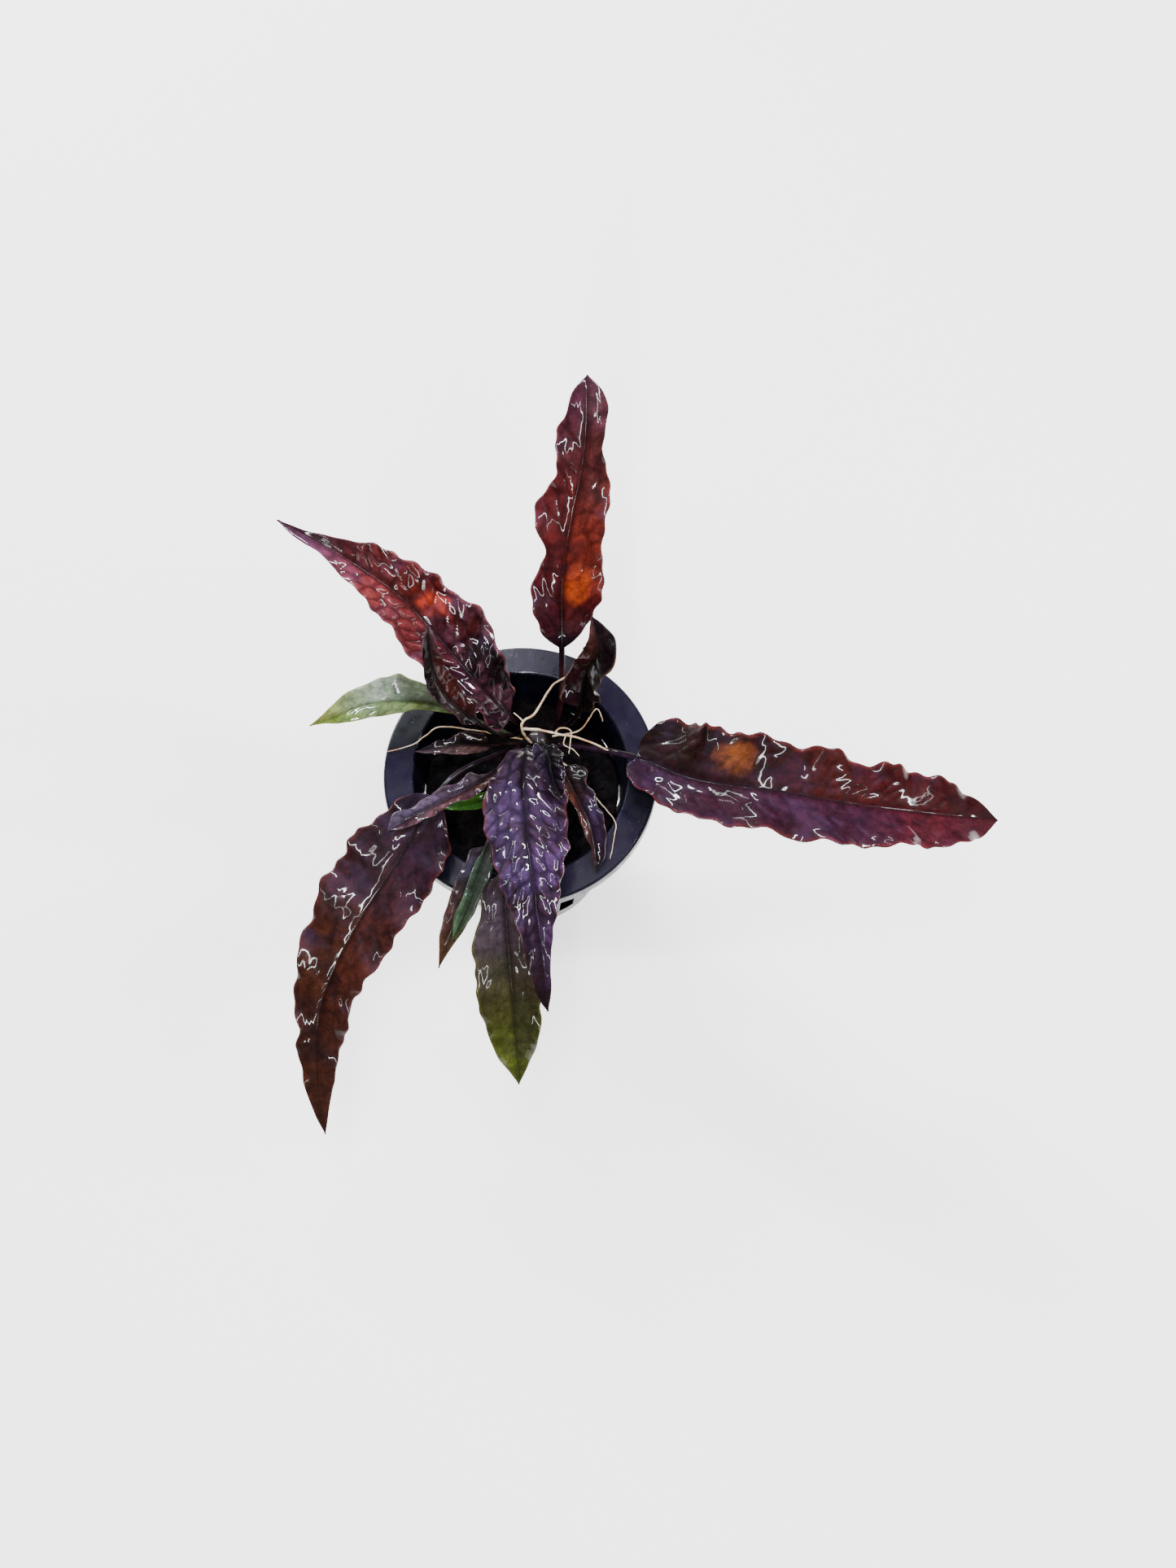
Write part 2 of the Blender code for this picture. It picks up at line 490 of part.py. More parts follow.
def add_crown():
    """Short knobby stem that every stalk springs from."""
    foot = MEDIUM_TOP + GAP
    share = np.linspace(0.0, 1.0, 6)
    swell = CROWN_RADIUS * (0.85 + 0.15 * np.sin(math.pi * share)) - 0.5 * share
    profile = np.stack([swell, foot + (CROWN_TOP - foot) * share], axis=-1)
    return add_turned("crown", CROWN_AT, profile, CROWN_COLUMNS, (0.06, 0.04, 0.02), 0.5, 0.06)


def tube_mesh(name, radius, points):
    """A closed round tube through the points, narrowing to its end."""
    route = smooth_route(points, np.linspace(0.0, 1.0, 2 * len(points) + 2))
    side, normal = frames_along(route, np.zeros(len(route)))
    turn = 2 * math.pi * np.arange(ROOT_SIDES) / ROOT_SIDES
    taper = radius * (1 - 0.45 * np.linspace(0.0, 1.0, len(route)))[:, None, None]
    rings = route[:, None, :] + taper * (np.cos(turn)[:, None] * side[:, None, :]
                                         + np.sin(turn)[:, None] * normal[:, None, :])
    return closed_mesh(name, rings, route[0], route[-1])


def add_root(name, runs):
    """A root: its first run is the body, and every other run is a branch joined to it."""
    radius, points = runs[0]
    root = place(tube_mesh(name, radius, points), (0.55, 0.42, 0.26), 0.5)
    for number, (radius, points) in enumerate(runs[1:]):
        branch_name = f"{name}_branch_{number}"
        branch = bpy.data.objects.new(branch_name, tube_mesh(branch_name, radius, points))
        branch.hide_render = True
        branch.display_type = "WIRE"
        bpy.context.scene.collection.objects.link(branch)
        union = root.modifiers.new(branch_name, "BOOLEAN")
        union.operation = "UNION"
        union.object = branch
    return root


def main():
    for thing in list(bpy.data.objects):
        bpy.data.objects.remove(thing, do_unlink=True)
    add_pot()
    add_medium()
    add_crown()
    for name, leaf in LEAVES.items():
        add_leaf(name, leaf)
    for name, runs in ROOTS.items():
        add_root(name, runs)


main()
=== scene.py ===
# %% [markdown]
# A potted Cryptocoryne wendtii: a rosette of wavy, puckered, wet leaves in a black slotted net pot.  The
# solids of the model are loaded first as a fixed frame, and every surface below is fitted to them.

# %% Load the frame
import math
from typing import NamedTuple

import bpy
import numpy as np
from mathutils import Matrix


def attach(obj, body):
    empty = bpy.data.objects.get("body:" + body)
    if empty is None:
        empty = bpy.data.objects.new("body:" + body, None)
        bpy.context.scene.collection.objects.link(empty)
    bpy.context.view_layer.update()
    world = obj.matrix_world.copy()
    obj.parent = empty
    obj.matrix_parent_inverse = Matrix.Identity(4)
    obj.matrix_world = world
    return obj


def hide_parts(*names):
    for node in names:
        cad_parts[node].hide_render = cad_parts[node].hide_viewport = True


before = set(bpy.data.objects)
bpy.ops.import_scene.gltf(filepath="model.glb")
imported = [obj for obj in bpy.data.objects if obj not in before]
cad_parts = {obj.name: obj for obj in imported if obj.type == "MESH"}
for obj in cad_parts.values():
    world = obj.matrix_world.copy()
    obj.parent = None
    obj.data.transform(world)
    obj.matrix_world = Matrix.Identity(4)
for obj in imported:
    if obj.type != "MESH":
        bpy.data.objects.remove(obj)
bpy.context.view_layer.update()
MM = 0.001

# %% [markdown]
# The photograph looks down into the pot from the front, 20 degrees off the pot's axis.  The rim is an
# ellipse there, 338 pixels wide and 318 high, and it is 50 mm across on the real pot, so one millimetre at
# the rim is 6.75 pixels.  A camera 0.36 m from the rim, turned 70 degrees down, sees the same ellipse in
# the same place once it has been slid sideways by the offset of the rim from the picture's middle.

# %% Camera
PICTURE = (1445, 1927)
RIM_PIXEL = (639.5, 948.5)
PIXELS_PER_MM = 6.752
CAMERA_DISTANCE = 360.0
CAMERA_ELEVATION = math.radians(70.0)
SENSOR = 36.0
POT_HEIGHT = 45.0


def photograph_camera():
    """Place a camera on the line through the rim's centre that leaves the rim at its pixel."""
    up = np.array([0.0, math.sin(CAMERA_ELEVATION), math.cos(CAMERA_ELEVATION)])
    back = np.array([0.0, -math.cos(CAMERA_ELEVATION), math.sin(CAMERA_ELEVATION)])
    right = np.array([1.0, 0.0, 0.0])
    aside = (RIM_PIXEL[0] - PICTURE[0] / 2) / PIXELS_PER_MM
    above = (RIM_PIXEL[1] - PICTURE[1] / 2) / PIXELS_PER_MM
    place = np.array([0.0, 0.0, POT_HEIGHT]) - aside * right + above * up + CAMERA_DISTANCE * back
    data = bpy.data.cameras.new("photograph_view")
    data.sensor_width = SENSOR
    data.lens = PIXELS_PER_MM * CAMERA_DISTANCE * SENSOR / PICTURE[1]
    data.clip_start = 0.01
    camera = bpy.data.objects.new("photograph_view", data)
    camera.location = place * MM
    camera.rotation_euler = (math.pi / 2 - CAMERA_ELEVATION, 0.0, 0.0)
    bpy.context.scene.collection.objects.link(camera)
    bpy.context.scene.camera = camera
    return camera


camera = photograph_camera()
print("camera at", tuple(round(v, 4) for v in camera.location), "lens", round(camera.data.lens, 1))

# %% [markdown]
# Every new surface is a grid of points: rings round a route, or rings round an axis.  One helper turns
# such a grid into a closed mesh, keeps a pattern map on it and hands it to the frame.  The faces are worked
# out as arrays, so a leaf of thirty thousand faces takes no longer to write than a plain tube.

# %% From rings of points to a finished piece


def ring_faces(rows, columns):
    """Quads between neighbouring rings, as rows of four point numbers."""
    i, j = np.meshgrid(np.arange(rows - 1), np.arange(columns), indexing="ij")
    after = (j + 1) % columns
    return np.stack([i * columns + j, i * columns + after, (i + 1) * columns + after,
                     (i + 1) * columns + j], axis=-1).reshape(-1, 4)


def make_piece(name, points, quads, triangles, node, slot, material, fields=None, uv=None):
    """A smooth mesh object from arrays, which replaces one CAD node and rides on the root body."""
    mesh = bpy.data.meshes.new(name)
    corners = np.concatenate([quads.ravel(), triangles.ravel()]).astype(np.int32)
    sizes = np.concatenate([np.full(len(quads), 4), np.full(len(triangles), 3)]).astype(np.int32)
    mesh.vertices.add(len(points))
    mesh.vertices.foreach_set("co", (points * MM).astype(np.float32).ravel())
    mesh.loops.add(len(corners))
    mesh.loops.foreach_set("vertex_index", corners)
    mesh.polygons.add(len(sizes))
    mesh.polygons.foreach_set("loop_start", (np.cumsum(sizes) - sizes).astype(np.int32))
    mesh.polygons.foreach_set("use_smooth", np.ones(len(sizes), dtype=bool))
    mesh.update(calc_edges=True)
    for field, values in (fields or {}).items():
        layer = mesh.attributes.new(field, "FLOAT", "POINT")
        layer.data.foreach_set("value", values.astype(np.float32).ravel())
    if uv is not None:
        layer = mesh.uv_layers.new(name="blade")
        layer.data.foreach_set("uv", uv[corners].astype(np.float32).ravel())
    mesh.validate()
    mesh.materials.append(material)
    thing = bpy.data.objects.new(name, mesh)
    bpy.context.scene.collection.objects.link(thing)
    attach(thing, "root")
    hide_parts(node)
    return thing


def skin_of_rings(rings, start, end):
    """Points, quads and end fans of a closed skin over rings of points."""
    rows, columns = rings.shape[:2]
    points = np.vstack([rings.reshape(-1, 3), start, end])
    ring = np.arange(columns)
    after = (ring + 1) % columns
    last = (rows - 1) * columns
    foot = np.stack([after, ring, np.full(columns, rows * columns)], axis=-1)
    head = np.stack([last + ring, last + after, np.full(columns, rows * columns + 1)], axis=-1)
    return points, ring_faces(rows, columns), np.vstack([foot, head])


# %% [markdown]
# A stalk, a midrib and a root all follow a smooth route through a few given points, the same points that
# the solids follow.  A Catmull-Rom cubic passes through every one of them. The
# blade's side direction is kept level and square to the route, which is how a leaf hangs: it bends down
# along its length but does not spin about its midrib.  A roll turns it where the photograph shows a twist.

# %% Routes and the frame that rides along them
ROUTE_STEPS = 24


def smooth_route(points, shares):
    """Points at the given shares of the length of a Catmull-Rom curve through the listed points."""
    knots = np.array(points, dtype=float)
    knots = np.vstack([2 * knots[0] - knots[1], knots, 2 * knots[-1] - knots[-2]])
    t = np.linspace(0.0, 1.0, ROUTE_STEPS, endpoint=False)[:, None]
    spans = []
    for a, b, c, d in zip(knots, knots[1:], knots[2:], knots[3:]):
        spans.append(0.5 * (2 * b + (c - a) * t + (2 * a - 5 * b + 4 * c - d) * t ** 2
                            + (3 * b - a - 3 * c + d) * t ** 3))
    curve = np.vstack(spans + [knots[-2:-1]])
    run = np.concatenate([[0.0], np.cumsum(np.linalg.norm(np.diff(curve, axis=0), axis=1))])
    places = np.stack([np.interp(shares * run[-1], run, curve[:, k]) for k in range(3)], axis=1)
    return places, run[-1]


def frames_along(route, roll):
    """Unit side and normal at each point of a route, turned about it by the roll in degrees."""
    along = np.gradient(route, axis=0)
    along /= np.linalg.norm(along, axis=1, keepdims=True)
    side = np.cross(along, (0.0, 0.0, 1.0))
    side /= np.linalg.norm(side, axis=1, keepdims=True)
    normal = np.cross(side, along)
    turn = np.radians(roll)[:, None]
    return side * np.cos(turn) + normal * np.sin(turn), normal * np.cos(turn) - side * np.sin(turn)


def smoothstep(x):
    x = np.clip(x, 0.0, 1.0)
    return x * x * (3 - 2 * x)


# %% [markdown]
# A leaf of this species has a blade several times as long as it is wide, with three kinds of relief.  The
# margin waves up and down and in and out.  Between the veins the blade puffs up into rows of small
# cushions, with a crease where each vein runs.  A strong midrib stands out below and leaves a groove
# above.  All of it is one height over the flat blade, a function of u along the blade and v across it.
# Sculpting would give the same look once; a formula gives it for sixteen leaves of different strengths.

# %% What sets one leaf apart


class Leaf(NamedTuple):
    """Lengths in millimetres, angles in degrees; the first lines repeat the solid's own values."""
    route: tuple            # midrib, from the crown to the tip
    stalk: float            # share of the route that is bare stalk
    stalk_radius: float
    left: tuple             # half widths of the blade at even steps from the stalk to the tip, on the
    right: tuple            # left and the right as seen from the crown towards the tip
    roll: tuple             # turn about the midrib at the stalk and at the tip
    fold: float             # rise of each half blade from the midrib
    waves: float            # waves of the margin between the stalk and the tip
    ruffle: float           # height of those waves
    start: float            # share of a wave by which they are ahead
    finish: str
    slot: str
    pucker: float           # height of the cushions between the veins
    cushion: float          # length of one cushion
    frill: float            # height of the short waves of the margin
    lobe: float             # how far the lobes of the base reach back along the stalk


LEAVES = {
    "leaf_back": Leaf(
        ((6.4, 9.6, 41.0), (7.5, 14.0, 49.0), (7.6, 20.0, 57.0), (7.7, 28.7, 64.0), (9.0, 35.5, 70.0),
         (11.7, 47.0, 79.0), (12.2, 57.9, 86.0)),
        0.27, 0.55,
        (0.6, 3.2, 4.1, 5.0, 5.4, 5.3, 4.2, 3.5, 4.5, 6.2, 6.9, 6.2, 4.8, 4.1, 4.6, 5.1, 5.3, 4.0, 3.1,
         2.2, 0.0),
        (0.6, 3.0, 4.8, 5.9, 7.1, 7.5, 7.3, 6.9, 6.3, 6.5, 6.3, 6.1, 5.9, 5.2, 4.3, 3.4, 3.4, 3.6, 3.6,
         2.6, 0.0),
        (0, 8), 8, 3.6, 1.1, 0.55,
        "rust_back", "leaf_rust", 0.22, 4.0, 0.12, 0.5),
    "leaf_back_left": Leaf(
        ((0.4, 10.2, 42.0), (-2.6, 9.6, 49.5), (-6.6, 12.0, 56.0), (-14.0, 19.0, 62.0),
         (-21.2, 25.0, 67.5), (-30.7, 29.7, 73.0), (-41.1, 33.5, 79.0)),
        0.11, 0.6,
        (0.7, 4.6, 3.4, 4.6, 5.6, 6.2, 6.4, 6.4, 6.4, 6.4, 5.9, 5.5, 5.4, 4.9, 4.0, 3.1, 2.4, 1.6, 1.4,
         1.0, 0.0),
        (0.7, 3.6, 5.0, 5.8, 6.2, 7.1, 8.6, 8.7, 8.0, 7.2, 7.2, 6.3, 6.0, 5.5, 4.8, 3.8, 2.8, 1.8, 0.9,
         0.5, 0.0),
        (0, 0), 10, 6.0, 0.9, 0.0,
        "rust_back_left", "leaf_rust", 0.34, 2.9, 0.15, 1.2),
    "leaf_back_left_small": Leaf(
        ((-0.7, 7.4, 44.8), (-3.6, 4.6, 51.5), (-7.6, 5.4, 56.5), (-10.0, 6.2, 59.5), (-12.2, 7.2, 63.0),
         (-13.7, 8.7, 67.0), (-14.4, 10.6, 71.5), (-14.6, 13.8, 79.5)),
        0.34, 0.45,
        (0.6, 2.4, 3.2, 3.3, 3.1, 2.8, 2.4, 2.0, 1.5, 0.8, 0.0),
        (0.6, 2.4, 2.9, 2.9, 2.6, 2.3, 2.0, 1.6, 1.2, 0.7, 0.0),
        (-20, -12), 22, 3.0, 0.6, 0.0,
        "brown_upright", "leaf_brown", 0.25, 2.6, 0.2, 0.3),
    "leaf_left_lime": Leaf(
        ((-0.6, 8.4, 40.3), (-7.4, 9.4, 45.4), (-12.5, 10.6, 49.2), (-18.7, 11.0, 52.0),
         (-27.5, 10.2, 52.5), (-38.3, 7.6, 48.5)),
        0.3, 0.5,
        (0.6, 1.0, 1.4, 1.8, 2.5, 2.7, 2.9, 2.7, 1.8, 0.7, 0.0),
        (0.6, 2.6, 3.4, 3.8, 4.8, 4.5, 4.0, 3.1, 2.3, 1.2, 0.0),
        (0, 0), 6, 3.0, 0.4, 0.0,
        "lime", "leaf_lime", 0.16, 2.4, 0.1, 0.3),
    "leaf_left_small": Leaf(
        ((-0.5, 6.7, 42.2), (-5.1, 4.8, 46.2), (-10.9, 4.0, 48.4), (-19.0, 2.7, 48.2)),
        0.3, 0.4,
        (0.4, 1.2, 1.7, 2.1, 2.3, 1.9, 1.7, 1.3, 0.9, 0.6, 0.0),
        (0.4, 1.6, 2.2, 2.3, 2.1, 1.6, 1.2, 1.2, 0.8, 0.4, 0.0),
        (0, 0), 12, 3.0, 0.3, 0.0,
        "brown_small", "leaf_brown", 0.14, 1.8, 0.12, 0.2),
    "leaf_left": Leaf(
        ((-0.4, 5.2, 44.4), (-4.4, -2.4, 51.2), (-8.9, -6.5, 54.0), (-16.0, -10.8, 55.2),
         (-23.0, -14.2, 53.4)),
        0.24, 0.4,
        (0.4, 0.8, 1.0, 1.7, 2.0, 1.4, 1.5, 1.7, 1.5, 1.0, 0.0),
        (0.4, 0.5, 1.0, 2.0, 1.9, 2.0, 2.0, 1.8, 1.4, 2.2, 0.0),
        (0, 10), 18, 4.0, 0.5, 0.0,
        "brown_grey", "leaf_brown", 0.2, 2.0, 0.2, 0.2),
    "leaf_left_green": Leaf(
        ((0.0, 4.8, 39.6), (-4.0, -2.6, 43.6), (-9.0, -6.4, 46.0), (-18.7, -6.6, 46.6)),
        0.4, 0.35,
        (0.4, 1.0, 1.3, 1.5, 1.4, 1.3, 1.2, 1.0, 0.8, 0.5, 0.0),
        (0.4, 0.9, 1.2, 1.4, 1.3, 1.2, 1.1, 1.0, 0.8, 0.5, 0.0),
        (0, 0), 8, 2.0, 0.2, 0.0,
        "bright_green", "leaf_green", 0.05, 1.8, 0.05, 0.0),
    "leaf_front_left": Leaf(
        ((-0.9, 6.0, 40.6), (-4.6, 2.2, 47.5), (-12.9, -4.3, 51.0), (-20.9, -18.5, 50.6),
         (-29.0, -31.3, 47.5), (-34.9, -43.3, 41.0), (-35.9, -55.0, 33.0), (-34.9, -62.8, 27.0)),
        0.26, 0.5,
        (2.0, 4.2, 7.0, 7.9, 7.9, 7.9, 7.8, 7.4, 7.2, 7.0, 6.3, 5.8, 5.0, 5.7, 5.2, 4.2, 3.6, 3.0, 2.1,
         1.1, 0.0),
        (3.0, 5.2, 6.8, 8.3, 9.3, 8.9, 9.4, 9.5, 8.1, 8.0, 8.0, 6.1, 5.8, 4.9, 3.1, 3.7, 2.8, 2.4, 1.6,
         1.0, 0.0),
        (0, 0), 5, 6.0, 1.0, 0.0,
        "chocolate", "leaf_brown", 0.15, 3.4, 0.15, 1.4),
    "leaf_front_left_small": Leaf(
        ((1.5, 3.7, 38.0), (-2.6, -4.3, 43.5), (-5.8, -15.1, 47.6), (-10.6, -28.3, 48.8),
         (-14.0, -36.7, 44.5)),
        0.48, 0.4,
        (0.6, 1.5, 2.3, 2.6, 2.7, 2.7, 2.4, 1.9, 1.1, 0.5, 0.0),
        (1.0, 2.3, 2.3, 2.7, 2.4, 2.4, 2.3, 1.9, 1.5, 0.8, 0.0),
        (0, 0), 10, 3.0, 0.4, 0.0,
        "bronze_olive", "leaf_olive", 0.08, 2.2, 0.08, 0.3),
    "leaf_front_sliver": Leaf(
        ((1.7, 3.8, 42.6), (-2.4, -5.1, 48.0), (-4.9, -15.0, 50.4), (-8.4, -26.1, 51.4),
         (-11.3, -32.8, 49.6)),
        0.5, 0.35,
        (0.4, 0.9, 1.5, 2.0, 2.2, 1.8, 1.7, 1.7, 1.4, 0.8, 0.0),
        (0.4, 0.5, 0.8, 1.3, 1.4, 1.3, 1.2, 1.2, 1.4, 0.8, 0.0),
        (0, 0), 14, 2.0, 0.2, 0.0,
        "dark_green", "leaf_green", 0.05, 1.8, 0.05, 0.0),
    "leaf_front": Leaf(
        ((2.6, 3.6, 44.8), (1.4, 1.6, 52.0), (0.9, -5.0, 57.0), (1.6, -16.0, 58.6), (3.1, -26.7, 56.4),
         (4.9, -39.9, 49.0), (5.3, -44.6, 45.0)),
        0.13, 0.6,
        (1.0, 2.8, 4.4, 5.6, 6.8, 7.4, 7.6, 7.2, 7.2, 7.0, 5.9, 5.0, 4.3, 3.6, 2.6, 2.1, 1.5, 1.1, 1.0,
         0.6, 0.0),
        (1.0, 2.8, 4.0, 4.9, 5.8, 7.0, 7.1, 7.3, 6.6, 6.3, 6.0, 5.6, 4.9, 4.2, 3.5, 3.1, 2.9, 2.5, 2.1,
         1.5, 0.0),
        (0, 0), 6, 6.0, 0.9, 0.0,
        "mauve", "leaf_purple", 0.30, 3.0, 0.15, 0.9),
    "leaf_front_green": Leaf(
        ((3.3, 3.7, 40.2), (0.2, -3.9, 46.2), (-1.8, -14.2, 50.0), (-2.2, -26.0, 50.6),
         (-1.0, -41.6, 45.0), (0.0, -55.0, 33.0)),
        0.42, 0.5,
        (0.6, 2.0, 3.0, 3.7, 4.2, 4.5, 4.8, 5.0, 5.1, 5.1, 5.1, 5.0, 4.8, 4.9, 4.6, 4.2, 3.6, 2.9, 2.0,
         1.0, 0.0),
        (2.0, 3.5, 4.2, 4.3, 4.5, 5.5, 6.2, 6.2, 6.0, 6.1, 6.1, 6.1, 5.8, 5.4, 4.9, 4.4, 3.9, 3.2, 2.3,
         1.1, 0.0),
        (0, 0), 6, 4.0, 0.5, 0.0,
        "olive_front", "leaf_olive", 0.1, 3.0, 0.08, 0.6),
    "leaf_young": Leaf(
        ((4.6, 5.0, 46.2), (4.7, 2.6, 52.0), (4.8, 0.2, 57.0), (5.3, -2.6, 59.5), (5.9, -6.0, 60.6),
         (6.7, -8.6, 60.6), (7.6, -10.7, 59.9)),
        0.46, 0.4,
        (0.8, 1.5, 2.2, 2.7, 2.8, 2.4, 2.5, 2.2, 1.6, 1.3, 0.0),
        (0.8, 1.4, 2.4, 2.6, 2.8, 2.7, 2.2, 2.0, 1.5, 1.2, 0.0),
        (0, 0), 20, 2.0, 0.7, 0.0,
        "dark_purple", "leaf_purple", 0.75, 3.2, 0.12, 0.3),
    "leaf_right_small": Leaf(
        ((5.6, 4.7, 43.4), (7.2, 0.0, 48.4), (9.9, -6.3, 51.0), (12.6, -12.4, 50.8), (13.8, -19.3, 46.8)),
        0.26, 0.4,
        (1.0, 3.0, 3.7, 2.7, 3.0, 2.7, 2.8, 2.5, 2.1, 1.8, 0.0),
        (0.8, 2.0, 2.2, 1.8, 1.3, 1.3, 1.4, 1.2, 0.4, 0.5, 0.0),
        (0, 0), 18, 3.0, 0.5, 0.0,
        "bronze_small", "leaf_brown", 0.2, 2.2, 0.2, 0.4),
    "leaf_right": Leaf(
        ((6.9, 6.4, 42.0), (12.6, 4.6, 45.2), (21.1, 0.6, 50.5), (31.0, -4.8, 54.5), (43.1, -7.7, 57.0),
         (57.2, -9.9, 56.0), (72.0, -10.4, 52.0), (86.0, -9.7, 46.0)),
        0.2, 0.6,
        (6.0, 9.0, 9.5, 9.4, 9.7, 9.5, 9.2, 9.0, 8.7, 8.6, 8.8, 8.6, 7.2, 7.5, 7.8, 7.2, 6.6, 5.8, 4.8,
         3.2, 0.0),
        (3.8, 5.8, 6.1, 7.2, 7.9, 7.8, 8.1, 8.1, 8.2, 8.9, 8.1, 8.6, 8.1, 7.7, 7.1, 6.9, 6.5, 5.8, 4.8,
         3.2, 0.0),
        (0, 0), 12, 6.0, 1.1, 0.0,
        "rust_right", "leaf_rust", 0.16, 3.4, 0.15, 2.2),
    "leaf_back_curled": Leaf(
        ((6.7, 8.4, 44.4), (9.4, 8.4, 48.8), (10.8, 9.0, 53.0), (11.2, 11.2, 56.0), (11.8, 12.8, 59.5),
         (13.1, 13.9, 63.5), (13.9, 15.3, 68.0), (12.9, 18.2, 73.0)),
        0.29, 0.45,
        (1.2, 3.1, 3.3, 3.1, 2.6, 2.1, 2.2, 2.3, 1.8, 1.1, 0.0),
        (1.2, 3.1, 3.8, 5.0, 4.9, 4.6, 4.3, 3.8, 2.7, 1.5, 0.0),
        (20, -12), 26, 2.0, 0.8, 0.0,
        "olive_curled", "leaf_olive", 0.18, 2.6, 0.2, 0.4),
}
print("leaves:", len(LEAVES))

# %% [markdown]
# The relief is worked out first, then the skin.  Between the veins lie cushions of uneven size, so they are
# cells: seeds are scattered over the blade, one to each square of a leaning lattice, and a point's height
# grows with how much nearer it is to its own seed than to the next one.  That is zero along the borders of
# the cells, which become the creases, and no two cells are alike.

# %% Relief of a blade
BLADE_HALF = 0.17
RIB_DEPTH = 0.45
GROOVE = 0.16
CELL_WIDTH = 0.85
CREASE_REACH = 0.55
LEAN = 0.8
VEIN_PLACES = (0.30, 0.55, 0.78)
VEIN_WIDTH = 0.13
BASE_REACH = 1.6
FRILL_LENGTH = 4.2
LOBE_FADE = 7.0


def cushions(along, across, rng):
    """Height of a puffed cell from 0 in a crease to 1 on its top; both places are in cells.

    With d1 and d2 the distances to the nearest two seeds, it is smoothstep((d2 - d1) / CREASE_REACH).
    """
    table = rng.uniform(0.12, 0.88, (97, 31, 2))
    a = along - LEAN * np.abs(across)
    cell_a, cell_b = np.floor(a).astype(int), np.floor(across).astype(int)
    first = np.full(a.shape, 9.0)
    second = first.copy()
    for step_a in (-1, 0, 1):
        for step_b in (-1, 0, 1):
            at_a, at_b = cell_a + step_a, cell_b + step_b
            seed = table[at_a % 97, at_b % 31]
            reach = np.hypot(at_a + seed[..., 0] - a, at_b + seed[..., 1] - across)
            second = np.minimum(second, np.maximum(first, reach))
            first = np.minimum(first, reach)
    return smoothstep((second - first) / CREASE_REACH)


def veins(u, v, half):
    """How close a point is to the midrib or to one of the veins that run beside it, from 0 to 1."""
    midrib = np.exp(-(v * half / 0.42) ** 2) * (1 - 0.5 * u)
    side = sum(np.exp(-((np.abs(v) - place * (1 - 0.25 * u)) * half / VEIN_WIDTH) ** 2)
               for place in VEIN_PLACES)
    return np.clip(midrib + 0.45 * side * smoothstep(half / 2.0), 0.0, 1.0)


def between(values, u):
    """A smooth curve through values at even steps, read at shares u of its length."""
    knots = np.concatenate([[2 * values[0] - values[1]], values, [2 * values[-1] - values[-2]]])
    along = np.clip(u, 0.0, 1.0) * (len(values) - 1)
    i = np.minimum(along.astype(int), len(values) - 2)
    t = along - i
    a, b, c, d = knots[i], knots[i + 1], knots[i + 2], knots[i + 3]
    return 0.5 * (2 * b + (c - a) * t + (2 * a - 5 * b + 4 * c - d) * t ** 2
                  + (3 * b - a - 3 * c + d) * t ** 3)


